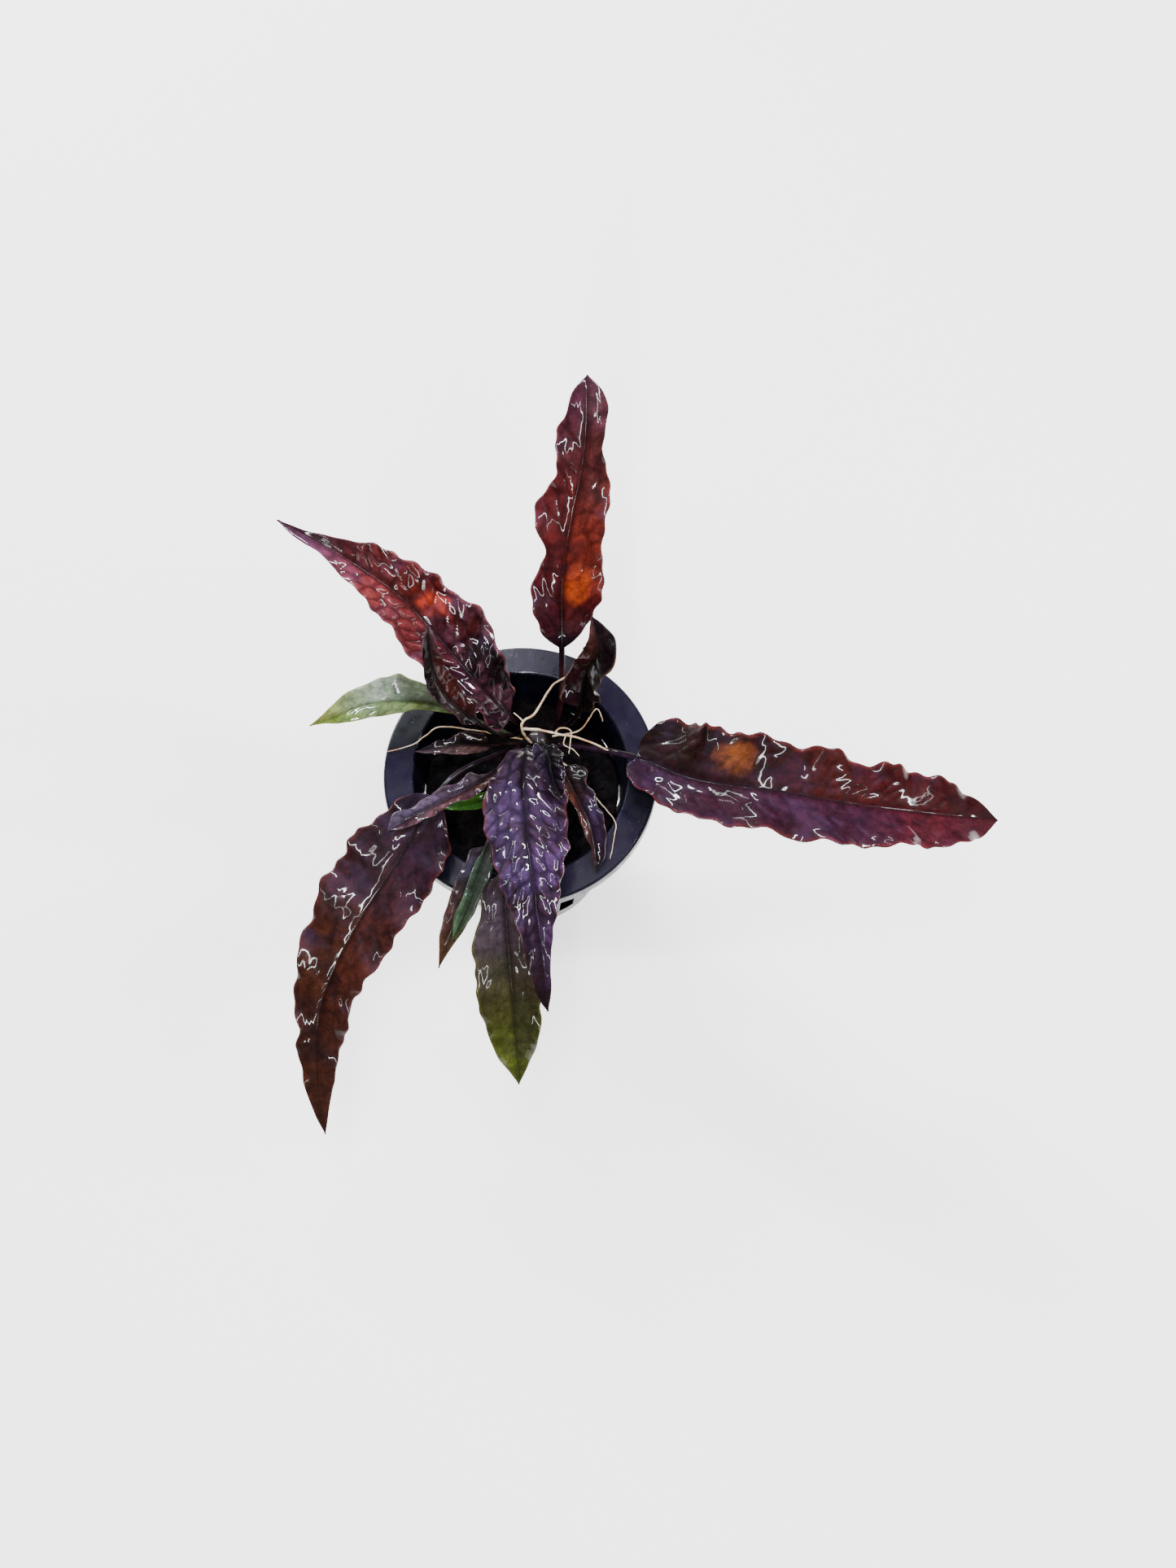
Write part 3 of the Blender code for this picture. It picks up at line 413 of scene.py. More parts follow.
def leaf_piece(name, leaf, number, material):
    """The skin of one leaf: rings round its midrib, a round stalk that opens into the relief blade.

    The lift is the fold, plus ruffle * v^2 * sin(wave), plus frill * |v|^3.5 * sin(short wave), plus the
    cushions, less the groove over the midrib.  The short wave also scallops the outline, in and out.
    """
    rng = np.random.default_rng(100 + number)
    big = len(leaf.left) > 11
    columns = 44 if big else 22
    stalk_rings = 36 if big else 24
    _, whole = smooth_route(leaf.route, np.array([0.0, 1.0]))
    length = whole * (1 - leaf.stalk)
    blade_rings = int(length / (0.22 if big else 0.20))
    even = (np.arange(blade_rings) + 0.5) / blade_rings
    u_blade = 0.6 * even + 0.4 * (1 - np.cos(math.pi * even)) / 2
    shares = np.concatenate([np.linspace(0.0, leaf.stalk, stalk_rings, endpoint=False),
                             leaf.stalk + (1 - leaf.stalk) * u_blade])
    u = np.concatenate([np.zeros(stalk_rings), u_blade])[:, None]
    route, _ = smooth_route(leaf.route, shares)
    side, normal = frames_along(route, np.interp(shares, (leaf.stalk, 1.0), leaf.roll))

    k = np.arange(2 * columns)
    around = math.pi * k / columns
    top = np.where(k <= columns, 1.0, -1.0)
    flat = np.where(k <= columns, 1 - 2 * k / columns, 2 * k / columns - 3)
    opening = smoothstep(u * length / BASE_REACH)
    v = np.cos(around) * (1 - 0.7 * opening) + flat * 0.7 * opening

    left, right = between(leaf.left, u), between(leaf.right, u)
    fullness = (left + right) / (max(leaf.left) + max(leaf.right))
    wide = smoothstep(fullness * 1.3) * opening
    phase = 2 * math.pi * (leaf.waves * u + leaf.start) + np.where(v > 0, 0.0, math.pi / 2)
    short = rng.uniform(0, 2 * math.pi, 4)
    frill_phase = (2 * math.pi * length / FRILL_LENGTH * u + 1.3 * np.sin(11 * u + short[0])
                   + np.where(v > 0, short[1], short[2]))
    half = np.where(v > 0, right, left)
    half = half + 1.6 * leaf.frill * np.minimum(half / 6, 1) * np.sin(frill_phase + 1.0) * wide
    half = np.maximum(half * opening ** 0.5, leaf.stalk_radius * (1 - 0.7 * u))

    core = (leaf.stalk_radius - BLADE_HALF) * (1 - smoothstep(7 * u))
    thick = BLADE_HALF + core * (np.exp(-(v * half / leaf.stalk_radius) ** 2) * opening + 1 - opening)
    round_rim = np.sin(around)
    flat_rim = np.sign(round_rim) * np.sqrt(np.clip(1 - np.abs(v) ** 6, 0, 1))
    skin = thick * (round_rim * (1 - opening) + flat_rim * opening) * (1 - 0.4 * u)
    vein = veins(u, v, half) * (u > 0)
    below = RIB_DEPTH * np.exp(-(v * half / 0.55) ** 2) * (1 - u) + 0.05 * vein
    above = GROOVE * np.exp(-(v * half / 0.5) ** 2) * (1 - 0.6 * u) + 0.06 * vein
    skin = skin - np.where(top > 0, above, below) * wide

    puff = cushions(u * length / leaf.cushion, v * half / leaf.cushion / CELL_WIDTH, rng)
    beside_rib = 1 - np.exp(-(v * half / 0.7) ** 2)
    puff = puff * beside_rib * (0.7 + 0.3 * np.sin(9 * u + short[3]) * np.sin(23 * u + 4 * v + short[0]))
    edge_calm = 1 - 0.6 * np.abs(v) ** 6
    lift = np.abs(v) * half * math.tan(math.radians(leaf.fold)) * wide
    lift = lift + leaf.ruffle * v ** 2 * np.sin(phase) * wide
    lift = lift + leaf.frill * np.abs(v) ** 3.5 * np.sin(frill_phase) * wide
    lift = lift + leaf.pucker * (puff - 0.35) * wide * edge_calm * smoothstep(3 * (1 - u))
    back = leaf.lobe * np.sin(math.pi * np.abs(v) ** 0.8) * opening * (1 - smoothstep(u * length / LOBE_FADE))
    rings = (route[:, None, :] + (v * half)[:, :, None] * side[:, None, :]
             + (skin + lift)[:, :, None] * normal[:, None, :]
             + back[:, :, None] * np.cross(side, normal)[:, None, :])
    tip, _ = smooth_route(leaf.route, np.array([1.0]))
    points, quads, fans = skin_of_rings(rings, np.array(leaf.route[0]), tip[0])
    stretch = np.where(u > 0, u, (shares[:, None] - leaf.stalk) / leaf.stalk * 0.1)
    uv = np.stack([np.broadcast_to(stretch, v.shape), (v + 1) / 2], axis=-1).reshape(-1, 2)
    ends = np.array([[-0.1, 0.5], [1.0, 0.5]])
    pad = np.zeros(2)
    # The cushion height is kept as puff; the finish turns it into painted shade in the creases.
    fields = {"puff": np.concatenate([(puff * wide).ravel(), pad]),
              "vein": np.concatenate([vein.ravel(), pad])}
    return make_piece(name + "_skin", points, quads, fans, name, leaf.slot, material, fields,
                      np.vstack([uv, ends]))


# %% [markdown]
# The leaf's finish is one recipe with different colours.  Each half of the blade has a ramp of colour from
# the stalk to the tip, laid on the blade's own map.  Blotches and a fine mottle lie over it, the veins are
# darker, the creases between the cushions are darkened as painted shade, the cushion tops are lightened a
# little as a painted highlight, and the margin has its own colour.  The plant was lifted from the water, so
# a thin film lies on it: a clear coat with almost no roughness.  The film is patchy, as it is where water has
# drained, and almost absent over the midrib.  Its normal is rippled separately from the leaf below, which
# breaks the reflections into squiggles.

# %% Small helpers for node trees


def srgb(red, green, blue):
    """Linear colour with full alpha from eight-bit display values."""
    value = np.array((red, green, blue)) / 255.0
    linear = np.where(value <= 0.04045, value / 12.92, ((value + 0.055) / 1.055) ** 2.4)
    return (*linear.tolist(), 1.0)


class Tree:
    """A material's node tree, with short calls for the nodes that the finishes use."""

    def __init__(self, name):
        self.material = bpy.data.materials.new(name)
        self.material.use_nodes = True
        self.nodes = self.material.node_tree.nodes
        self.links = self.material.node_tree.links
        self.shader = self.nodes["Principled BSDF"]

    def node(self, kind, settings=None, **inputs):
        """A node with settings as its properties; an input is a value or another node's socket."""
        node = self.nodes.new("ShaderNode" + kind)
        for key, value in (settings or {}).items():
            setattr(node, key, value)
        for key, value in inputs.items():
            socket = node.inputs[key.replace("_", " ")]
            if isinstance(value, bpy.types.NodeSocket):
                self.links.new(value, socket)
            else:
                socket.default_value = value
        return node

    def ramp(self, factor, stops):
        """A colour ramp; stops are pairs of position and colour."""
        node = self.node("ValToRGB", Fac=factor)
        elements = node.color_ramp.elements
        while len(elements) < len(stops):
            elements.new(0.5)
        for element, (place, colour) in zip(elements, stops):
            element.position = place
            element.color = colour
        return node.outputs["Color"]

    def fade(self, value, low, high, to_low=0.0, to_high=1.0):
        """A value mapped smoothly from one range to another."""
        node = self.node("MapRange", {"interpolation_type": "SMOOTHSTEP"}, Value=value)
        for key, number in (("From Min", low), ("From Max", high), ("To Min", to_low), ("To Max", to_high)):
            node.inputs[key].default_value = number
        return node.outputs["Result"]

    def maths(self, operation, first, second=0.5):
        node = self.nodes.new("ShaderNodeMath")
        node.operation = operation
        for socket, value in zip(node.inputs, (first, second)):
            if isinstance(value, bpy.types.NodeSocket):
                self.links.new(value, socket)
            else:
                socket.default_value = value
        return node.outputs[0]

    def mix(self, factor, first, second, blend="MIX"):
        """Two colours mixed by a factor."""
        node = self.nodes.new("ShaderNodeMix")
        node.data_type = "RGBA"
        node.blend_type = blend
        for socket, value in ((node.inputs[0], factor), (node.inputs[6], first), (node.inputs[7], second)):
            if isinstance(value, bpy.types.NodeSocket):
                self.links.new(value, socket)
            else:
                socket.default_value = value
        return node.outputs[2]

    def noise(self, scale, detail=3.0, distortion=0.0):
        """Noise on the object's own coordinates; scale is in cycles per metre."""
        where = self.node("TexCoord").outputs["Object"]
        node = self.node("TexNoise", Vector=where, Scale=scale, Detail=detail, Distortion=distortion)
        return node.outputs["Fac"]

    def attribute(self, name):
        return self.node("Attribute", {"attribute_name": name}).outputs["Fac"]

    def bump(self, height, distance, strength=1.0, normal=None):
        node = self.node("Bump", Height=height, Distance=distance, Strength=strength)
        if normal is not None:
            self.links.new(normal, node.inputs["Normal"])
        return node.outputs["Normal"]

    def put(self, socket, value):
        """Set or link one of the shader's sockets."""
        if isinstance(value, bpy.types.NodeSocket):
            self.links.new(value, self.shader.inputs[socket])
        else:
            self.shader.inputs[socket].default_value = value


# %% The leaf finishes
WHITE_SHOWN = 1.3


class Blade(NamedTuple):
    """Colours of one leaf as eight-bit display values, and where they lie on it."""
    left: tuple             # stops of place and colour from the stalk to the tip, left half
    right: tuple            # the same for the right half, as seen from the crown
    blotch: tuple           # colour of the soft patches
    blotch_share: float
    margin: tuple
    ripple: float           # height of the ripples in the wet film, in millimetres
    crease: float           # painted shade: how much darker the creases between the cushions are, from 0 to 1
    film: tuple             # how wet the left and the right half are, from 0 to 1
    marks_and_glow: tuple = ()       # broad marks, some of them a painted glow of light through the leaf: place along, place across, reach along and across, colour


# Where a ramp runs near black at the stalk end, those stops are painted shade: the shadow down in the pot on
# the leaf bases.
BLADES = {
    # rust_back: the orange near a third of the way along the right half, its ramp stop and its mark, is a
    # painted glow of light passing through the leaf; the lilac at the tips is painted sheen.
    "rust_back": Blade(
        ((0.02, (26, 7, 15)), (0.20, (60, 14, 19)), (0.40, (84, 25, 23)), (0.62, (87, 31, 31)),
         (0.78, (67, 27, 31)), (1.0, (100, 48, 70))),
        ((0.02, (26, 8, 16)), (0.16, (72, 20, 19)), (0.30, (120, 40, 25)), (0.62, (92, 40, 35)),
         (0.80, (72, 35, 33)), (1.0, (108, 65, 79))),
        (70, 30, 34), 0.45, (120, 50, 44), 0.08, 0.35, (0.8, 0.8),
        ((0.27, 0.68, 0.10, 0.22, (178, 70, 26)),)),
    # rust_back_left: the orange mark on the right half is a painted glow of light passing through the leaf,
    # and the lilac towards the tip of the left half is partly painted sheen.
    "rust_back_left": Blade(
        ((0.02, (35, 9, 23)), (0.25, (63, 22, 37)), (0.45, (107, 40, 41)), (0.70, (146, 62, 60)),
         (1.0, (137, 90, 129))),
        ((0.02, (13, 4, 8)), (0.28, (23, 5, 8)), (0.42, (67, 16, 13)), (0.62, (84, 25, 20)),
         (0.80, (77, 28, 29)), (1.0, (67, 34, 51))),
        (110, 62, 76), 0.40, (150, 84, 88), 0.16, 0.5, (1, 0.8), ((0.47, 0.72, 0.08, 0.22, (190, 62, 34)),)),
    "brown_upright": Blade(
        ((0.02, (6, 2, 4)), (0.35, (14, 4, 4)), (0.70, (21, 7, 7)), (1.0, (34, 12, 15))),
        ((0.02, (34, 6, 8)), (0.35, (69, 24, 18)), (0.70, (67, 24, 18)), (1.0, (96, 54, 67))),
        (60, 32, 30), 0.35, (96, 60, 52), 0.1, 0.35, (0.3, 0.6)),
    "lime": Blade(
        ((0.02, (54, 62, 27)), (0.25, (94, 106, 54)), (0.45, (130, 155, 94)), (0.80, (111, 135, 51)),
         (1.0, (140, 157, 63))),
        ((0.02, (51, 52, 37)), (0.30, (100, 114, 88)), (0.55, (148, 163, 137)), (0.80, (151, 164, 93)),
         (1.0, (155, 163, 75))),
        (120, 152, 104), 0.45, (150, 156, 54), 0.14, 0.25, (0.8, 1)),
    "brown_small": Blade(
        ((0.02, (49, 28, 28)), (0.4, (86, 64, 59)), (1.0, (104, 88, 90))),
        ((0.02, (13, 3, 2)), (0.5, (18, 5, 5)), (1.0, (31, 14, 16))),
        (52, 36, 28), 0.4, (84, 60, 54), 0.14, 0.4, (0.7, 0.4)),
    "brown_grey": Blade(
        ((0.02, (52, 22, 22)), (0.25, (80, 53, 39)), (0.6, (93, 58, 61)), (1.0, (71, 50, 60))),
        ((0.02, (21, 11, 29)), (0.25, (69, 56, 62)), (0.6, (95, 79, 99)), (1.0, (97, 87, 110))),
        (72, 50, 54), 0.4, (104, 76, 76), 0.14, 0.4, (0.7, 0.9)),
    "bright_green": Blade(
        ((0.0, (48, 69, 14)), (0.4, (48, 103, 14)), (1.0, (67, 98, 42))),
        ((0.0, (50, 74, 18)), (0.4, (54, 110, 20)), (1.0, (90, 116, 70))),
        (40, 92, 14), 0.4, (80, 120, 50), 0.05, 0.2, (0.5, 0.5)),
    "chocolate": Blade(
        ((0.02, (28, 16, 28)), (0.20, (46, 23, 31)), (0.45, (68, 33, 23)), (0.60, (58, 27, 17)),
         (1.0, (60, 32, 22))),
        ((0.02, (27, 16, 24)), (0.20, (45, 24, 27)), (0.50, (65, 32, 18)), (1.0, (60, 32, 15))),
        (30, 16, 17), 0.65, (88, 40, 34), 0.1, 0.15, (0.4, 0.75)),
    "bronze_olive": Blade(
        ((0.02, (38, 31, 25)), (0.3, (50, 57, 34)), (0.65, (58, 69, 38)), (1.0, (106, 61, 36))),
        ((0.02, (60, 52, 60)), (0.3, (43, 44, 44)), (0.60, (70, 44, 37)), (1.0, (103, 70, 37))),
        (60, 46, 40), 0.35, (100, 66, 50), 0.08, 0.2, (0.7, 0.8)),
    "dark_green": Blade(
        ((0.02, (52, 37, 38)), (0.3, (38, 44, 32)), (1.0, (48, 60, 37))),
        ((0.02, (53, 41, 42)), (0.3, (60, 74, 60)), (1.0, (75, 103, 67))),
        (38, 52, 32), 0.45, (64, 80, 48), 0.05, 0.1, (0.4, 0.4)),
    # mauve: the violet of the middle stops is partly painted sheen over the leaf's own brown-purple.
    "mauve": Blade(
        ((0.02, (48, 29, 42)), (0.30, (58, 38, 62)), (0.55, (83, 56, 95)), (0.80, (92, 58, 97)),
         (1.0, (75, 40, 55))),
        ((0.02, (46, 28, 40)), (0.30, (70, 51, 80)), (0.55, (68, 49, 82)), (0.80, (58, 35, 50)),
         (1.0, (48, 25, 32))),
        (48, 30, 33), 0.8, (100, 42, 38), 0.22, 0.6, (1, 1)),
    "olive_front": Blade(
        ((0.02, (62, 46, 53)), (0.30, (56, 44, 44)), (0.48, (48, 42, 25)), (0.68, (49, 51, 20)),
         (0.85, (63, 70, 23)), (1.0, (86, 97, 30))),
        ((0.02, (53, 41, 45)), (0.26, (69, 57, 64)), (0.42, (57, 52, 36)), (0.62, (57, 58, 22)),
         (0.82, (72, 79, 25)), (1.0, (95, 105, 31))),
        (50, 42, 30), 0.35, (90, 84, 34), 0.07, 0.18, (0.5, 0.4)),
    "dark_purple": Blade(
        ((0.02, (14, 8, 15)), (0.35, (6, 2, 5)), (0.7, (18, 10, 18)), (1.0, (37, 10, 11))),
        ((0.02, (27, 20, 33)), (0.35, (32, 22, 36)), (0.7, (38, 25, 40)), (1.0, (32, 10, 12))),
        (26, 12, 22), 0.5, (74, 40, 44), 0.16, 0.6, (0.9, 0.9)),
    "bronze_small": Blade(
        ((0.02, (8, 2, 4)), (0.3, (25, 11, 19)), (0.55, (49, 34, 56)), (1.0, (31, 15, 22))),
        ((0.02, (59, 43, 53)), (0.3, (97, 54, 39)), (0.6, (86, 51, 44)), (1.0, (93, 64, 66))),
        (56, 36, 34), 0.4, (100, 70, 62), 0.16, 0.4, (0.8, 0.8)),
    "rust_right": Blade(
        ((0.02, (24, 10, 6)), (0.16, (29, 12, 6)), (0.38, (37, 11, 8)), (0.52, (63, 21, 15)),
         (0.70, (65, 15, 15)), (1.0, (54, 16, 16))),
        ((0.02, (55, 34, 54)), (0.25, (51, 22, 32)), (0.60, (59, 27, 42)), (0.75, (81, 27, 35)),
         (1.0, (78, 29, 35))),
        (54, 24, 30), 0.4, (120, 50, 46), 0.14, 0.22, (0.45, 0.9),
        ((0.27, 0.24, 0.06, 0.20, (120, 64, 28)),)),
    # olive_curled: the near-black stops of the right half are painted shade on the leaf's shadowed side.
    "olive_curled": Blade(
        ((0.02, (27, 8, 12)), (0.35, (37, 10, 14)), (0.6, (66, 31, 26)), (1.0, (86, 48, 44))),
        ((0.02, (7, 2, 4)), (0.50, (5, 2, 3)), (0.75, (18, 7, 9)), (1.0, (37, 21, 32))),
        (40, 26, 20), 0.3, (116, 84, 62), 0.1, 0.25, (0.5, 0.3)),
}


def pigment(colour):
    """The linear colour that shows as these display values where the lights show white as WHITE_SHOWN."""
    red, green, blue, _ = srgb(*colour)
    return (red / WHITE_SHOWN, green / WHITE_SHOWN, blue / WHITE_SHOWN, 1.0)


def leaf_finish(name, blade):
    """A wet leaf: pigment from the blade's map, darker veins, painted shade in the creases between the
    cushions, under a clear film.
    """
    tree = Tree(name)
    place = tree.node("SeparateXYZ", Vector=tree.node("UVMap", {"uv_map": "blade"}).outputs["UV"])
    along, across = place.outputs["X"], place.outputs["Y"]
    reach = tree.maths("ABSOLUTE", tree.maths("MULTIPLY", tree.maths("SUBTRACT", across, 0.5), 2.0))
    wander = tree.maths("MULTIPLY", tree.maths("SUBTRACT", tree.noise(160.0), 0.5), 0.22)
    wandering = tree.maths("ADD", along, wander)
    halves = [tree.ramp(wandering, [(at, pigment(rgb)) for at, rgb in stops])
              for stops in (blade.left, blade.right)]
    colour = tree.mix(tree.fade(across, 0.44, 0.56), *halves)
    # Soft round marks of colour; the orange ones on rust_back and rust_back_left are a painted glow of light
    # passing through the leaf.
    for u, v, reach_u, reach_v, rgb in blade.marks_and_glow:
        off_u = tree.maths("DIVIDE", tree.maths("SUBTRACT", wandering, u), reach_u)
        off_v = tree.maths("DIVIDE", tree.maths("SUBTRACT", across, v), reach_v)
        away = tree.maths("ADD", tree.maths("MULTIPLY", off_u, off_u), tree.maths("MULTIPLY", off_v, off_v))
        colour = tree.mix(tree.fade(away, 1.0, 0.1, 0.0, 0.85), colour, pigment(rgb))
    patches = tree.fade(tree.noise(230.0, 4.0, 0.6), 0.46, 0.62, 0.0, blade.blotch_share)
    colour = tree.mix(patches, colour, pigment(blade.blotch))
    edge = tree.maths("MULTIPLY", tree.fade(reach, 0.88, 1.0, 0.0, 0.6), tree.fade(along, 0.0, 0.05))
    colour = tree.mix(edge, colour, pigment(blade.margin))
    puff = tree.attribute("puff")
    # Painted shade and highlight: the creases between the cushions are darkened and the cushion tops a little
    # lightened; then darker veins, a mottle and a fine grain, which are the leaf's own.
    crease_shade_and_mottle = tree.fade(puff, 0.0, 0.55, 1.0 - blade.crease, 1.0 + 0.15 * blade.crease)
    crease_shade_and_mottle = tree.maths("MULTIPLY", crease_shade_and_mottle, tree.fade(tree.attribute("vein"), 0.1, 0.9, 1.0, 0.45))
    crease_shade_and_mottle = tree.maths("MULTIPLY", crease_shade_and_mottle, tree.fade(tree.noise(560.0, 3.0, 0.5), 0.32, 0.68, 0.70, 1.25))
    crease_shade_and_mottle = tree.maths("MULTIPLY", crease_shade_and_mottle, tree.fade(tree.noise(2600.0, 2.0), 0.3, 0.75, 0.84, 1.14))
    crease_shade_and_mottle = tree.node("CombineColor", Red=crease_shade_and_mottle, Green=crease_shade_and_mottle, Blue=crease_shade_and_mottle).outputs["Color"]
    colour = tree.mix(1.0, colour, crease_shade_and_mottle, "MULTIPLY")
    tree.put("Base Color", colour)
    tree.put("Roughness", tree.fade(tree.noise(900.0, 3.0), 0.3, 0.7, 0.34, 0.56))
    tree.put("Specular IOR Level", 0.05)
    film = tree.fade(across, 0.42, 0.58, *blade.film)
    film = tree.maths("MULTIPLY", film, tree.fade(tree.noise(170.0, 1.0, 0.5), 0.40, 0.56, 0.12, 1.0))
    film = tree.maths("MULTIPLY", film, tree.fade(tree.attribute("vein"), 0.25, 0.7, 1.0, 0.15))
    tree.put("Coat Weight", film)
    tree.put("Coat Roughness", 0.06)
    tree.put("Coat IOR", 1.5)
    grain = tree.bump(tree.noise(3400.0, 3.0), 0.00003)
    tree.put("Normal", tree.bump(tree.noise(950.0, 2.0), 0.00008, 1.0, grain))
    tree.put("Coat Normal", tree.bump(tree.noise(230.0, 0.0, 0.6), 0.8 * blade.ripple * MM))
    return tree.material


# %% [markdown]
# All sixteen leaves are made now.  Each one replaces the plain solid of its name.

# %% Make the leaves
for number, (name, leaf) in enumerate(LEAVES.items()):
    skin = leaf_piece(name, leaf, number, leaf_finish(leaf.finish, BLADES[leaf.finish]))
    print(name, len(skin.data.polygons), "faces")

# %% [markdown]
# The pot is one injection moulding in black plastic.  It could be turned and then cut with twelve boxes,
# but a Boolean leaves long thin faces that shade badly.  Here it is a ring of cells between an under side
# and an upper side, and the cells of the slots are simply left out; walls close the cells that border on a
# gap.  A bevel then rounds every edge, as a mould's edges are.

# %% The pot's profile
RIM_RADIUS = 25.0
MOUTH_RADIUS = 19.4
BASE_RADIUS = 15.5
WALL = 1.2
FLOOR = 1.4
FLANGE_FALL = 0.4
SKIRT_DROP = 3.5
SLOT_COUNT = 12
SLOT_ANGLE = 11.0
SLOT_LEVELS = ((5.0, 19.5), (22.0, 34.3))
FLOOR_SLOT = (5.0, 12.5)
MOULD_EDGE = 0.35
SLOT_STEPS = 4
BAR_STEPS = 8


def wall_radius(z):
    """Outer radius of the tapered basket at a height."""
    return BASE_RADIUS + (MOUTH_RADIUS + WALL - BASE_RADIUS) * z / POT_HEIGHT


def pot_profile():
    """Stations of (under r, under z, upper r, upper z) from the hub of the floor to the skirt's hem."""
    stations = [(FLOOR_SLOT[0], 0.0, FLOOR_SLOT[0], FLOOR), (FLOOR_SLOT[1], 0.0, FLOOR_SLOT[1], FLOOR),
                (BASE_RADIUS, 0.0, BASE_RADIUS - WALL, FLOOR)]
    for level in sorted(z for pair in SLOT_LEVELS for z in pair):
        stations.append((wall_radius(level), level, wall_radius(level) - WALL, level))
    under = POT_HEIGHT - WALL
    stations += [
        (wall_radius(under), under, MOUTH_RADIUS, POT_HEIGHT - MOULD_EDGE),
        (wall_radius(under) + MOULD_EDGE, under, MOUTH_RADIUS + MOULD_EDGE, POT_HEIGHT),
        (RIM_RADIUS - WALL, under - FLANGE_FALL, RIM_RADIUS - MOULD_EDGE, POT_HEIGHT - FLANGE_FALL),
        (RIM_RADIUS - WALL, under - 2 * FLANGE_FALL, RIM_RADIUS, POT_HEIGHT - FLANGE_FALL - MOULD_EDGE),
        (RIM_RADIUS - WALL, POT_HEIGHT - SKIRT_DROP, RIM_RADIUS, POT_HEIGHT - SKIRT_DROP),
    ]
    return np.array(stations)


def pot_piece(material):
    """Cells round the profile less the slots; the point of ring i, column j is number i * columns + j."""
    period = 360.0 / SLOT_COUNT
    cell = np.concatenate([np.linspace(-SLOT_ANGLE / 2, SLOT_ANGLE / 2, SLOT_STEPS, endpoint=False),
                           np.linspace(SLOT_ANGLE / 2, period - SLOT_ANGLE / 2, BAR_STEPS, endpoint=False)])
    turn = np.radians((period * np.arange(SLOT_COUNT)[:, None] + cell[None, :]).ravel())
    stations = pot_profile()
    rows, columns = len(stations), len(turn)
    circle = np.stack([np.cos(turn), np.sin(turn)], axis=-1)

    def ring(radius, height):
        flat = radius[:, None, None] * circle[None]
        return np.concatenate([flat, np.broadcast_to(height[:, None, None], (rows, columns, 1))], axis=-1)

    under = ring(stations[:, 0], stations[:, 1]).reshape(-1, 3)
    upper = ring(stations[:, 2], stations[:, 3]).reshape(-1, 3)
    offset = rows * columns
    hubs = np.array([[0.0, 0.0, 0.0], [0.0, 0.0, FLOOR]])
    points = np.vstack([under, upper, hubs])

    row, column = np.meshgrid(np.arange(rows - 1), np.arange(columns), indexing="ij")
    slot_rows = np.isin(row, [0] + [3 + 2 * level for level in range(len(SLOT_LEVELS))])
    slot_columns = column % (SLOT_STEPS + BAR_STEPS) < SLOT_STEPS
    solid = ~(slot_rows & slot_columns)
    after = (column + 1) % columns
    a, b = row * columns + column, row * columns + after
    c, d = a + columns, b + columns
    left_gap = solid & ~np.roll(solid, 1, axis=1)
    right_gap = solid & ~np.roll(solid, -1, axis=1)
    below_gap = solid & ~np.vstack([np.zeros((1, columns), bool), solid[:-1]])
    above_gap = solid & ~np.vstack([solid[1:], np.zeros((1, columns), bool)])

    def faces(where, *corners):
        return np.stack([corner[where] for corner in corners], axis=-1)

    hub_walls = np.stack([np.arange(columns), (np.arange(columns) + 1) % columns], axis=-1)
    open_hub = hub_walls[~solid[0]]
    quads = np.vstack([
        faces(solid, a, c, d, b), faces(solid, a + offset, b + offset, d + offset, c + offset),
        faces(left_gap, a, a + offset, c + offset, c), faces(right_gap, b, d, d + offset, b + offset),
        faces(below_gap & (row > 0), a, b, b + offset, a + offset),
        faces(above_gap, c, c + offset, d + offset, d),
        np.stack([open_hub[:, 0], open_hub[:, 0] + offset, open_hub[:, 1] + offset, open_hub[:, 1]],
                 axis=-1)])
    bottom = np.column_stack([np.full(columns, 2 * offset), hub_walls])
    top = np.column_stack([np.full(columns, 2 * offset + 1), hub_walls[:, ::-1] + offset])
    pot = make_piece("pot_moulding", points, quads, np.vstack([bottom, top]), "pot", "pot_plastic", material)
    edge = pot.modifiers.new("mould_edges", "BEVEL")
    edge.width = 0.22 * MM
    edge.segments = 2
    edge.limit_method = "ANGLE"
    edge.angle_limit = math.radians(35)
    edge.harden_normals = True
    return pot


def pot_finish():
    """Wet black plastic: a black body tinted blue as painted reflection of the violet light, faint flow
    lines, small pale bluish specks and a clear wet film.
    """
    tree = Tree("black_plastic")
    streak = tree.noise(180.0, 4.0, 0.4)
    # The blue in these body colours is painted reflection of violet light; the plastic itself is black.
    colour = tree.mix(tree.fade(streak, 0.35, 0.7), pigment((9, 10, 20)), pigment((15, 16, 32)))
    speck = tree.fade(tree.noise(2400.0, 1.0), 0.74, 0.80, 0.0, 0.5)
    colour = tree.mix(speck, colour, pigment((96, 100, 120)))
    tree.put("Base Color", colour)
    tree.put("Roughness", tree.fade(tree.noise(420.0, 4.0), 0.3, 0.75, 0.26, 0.46))
    tree.put("Coat Weight", 0.2)
    tree.put("Coat Roughness", 0.12)
    tree.put("Specular IOR Level", 0.2)
    tree.put("Normal", tree.bump(tree.noise(1500.0, 4.0), 0.00002))
    return tree.material


pot = pot_piece(pot_finish())
print("pot faces before the bevel:", len(pot.data.polygons))

# %% [markdown]
# The basket is filled with planting medium: plant fibre that a net pot holds in place, coloured near black
# as painted shade of the pot's deep inside.  A plug with a lumpy skin gives the mass, and several hundred
# short bent fibres lie on its top and show in the slots.
# Hair particles would not survive the export, so each fibre is a thin four-sided tube, and all of them are
# worked out as one array.

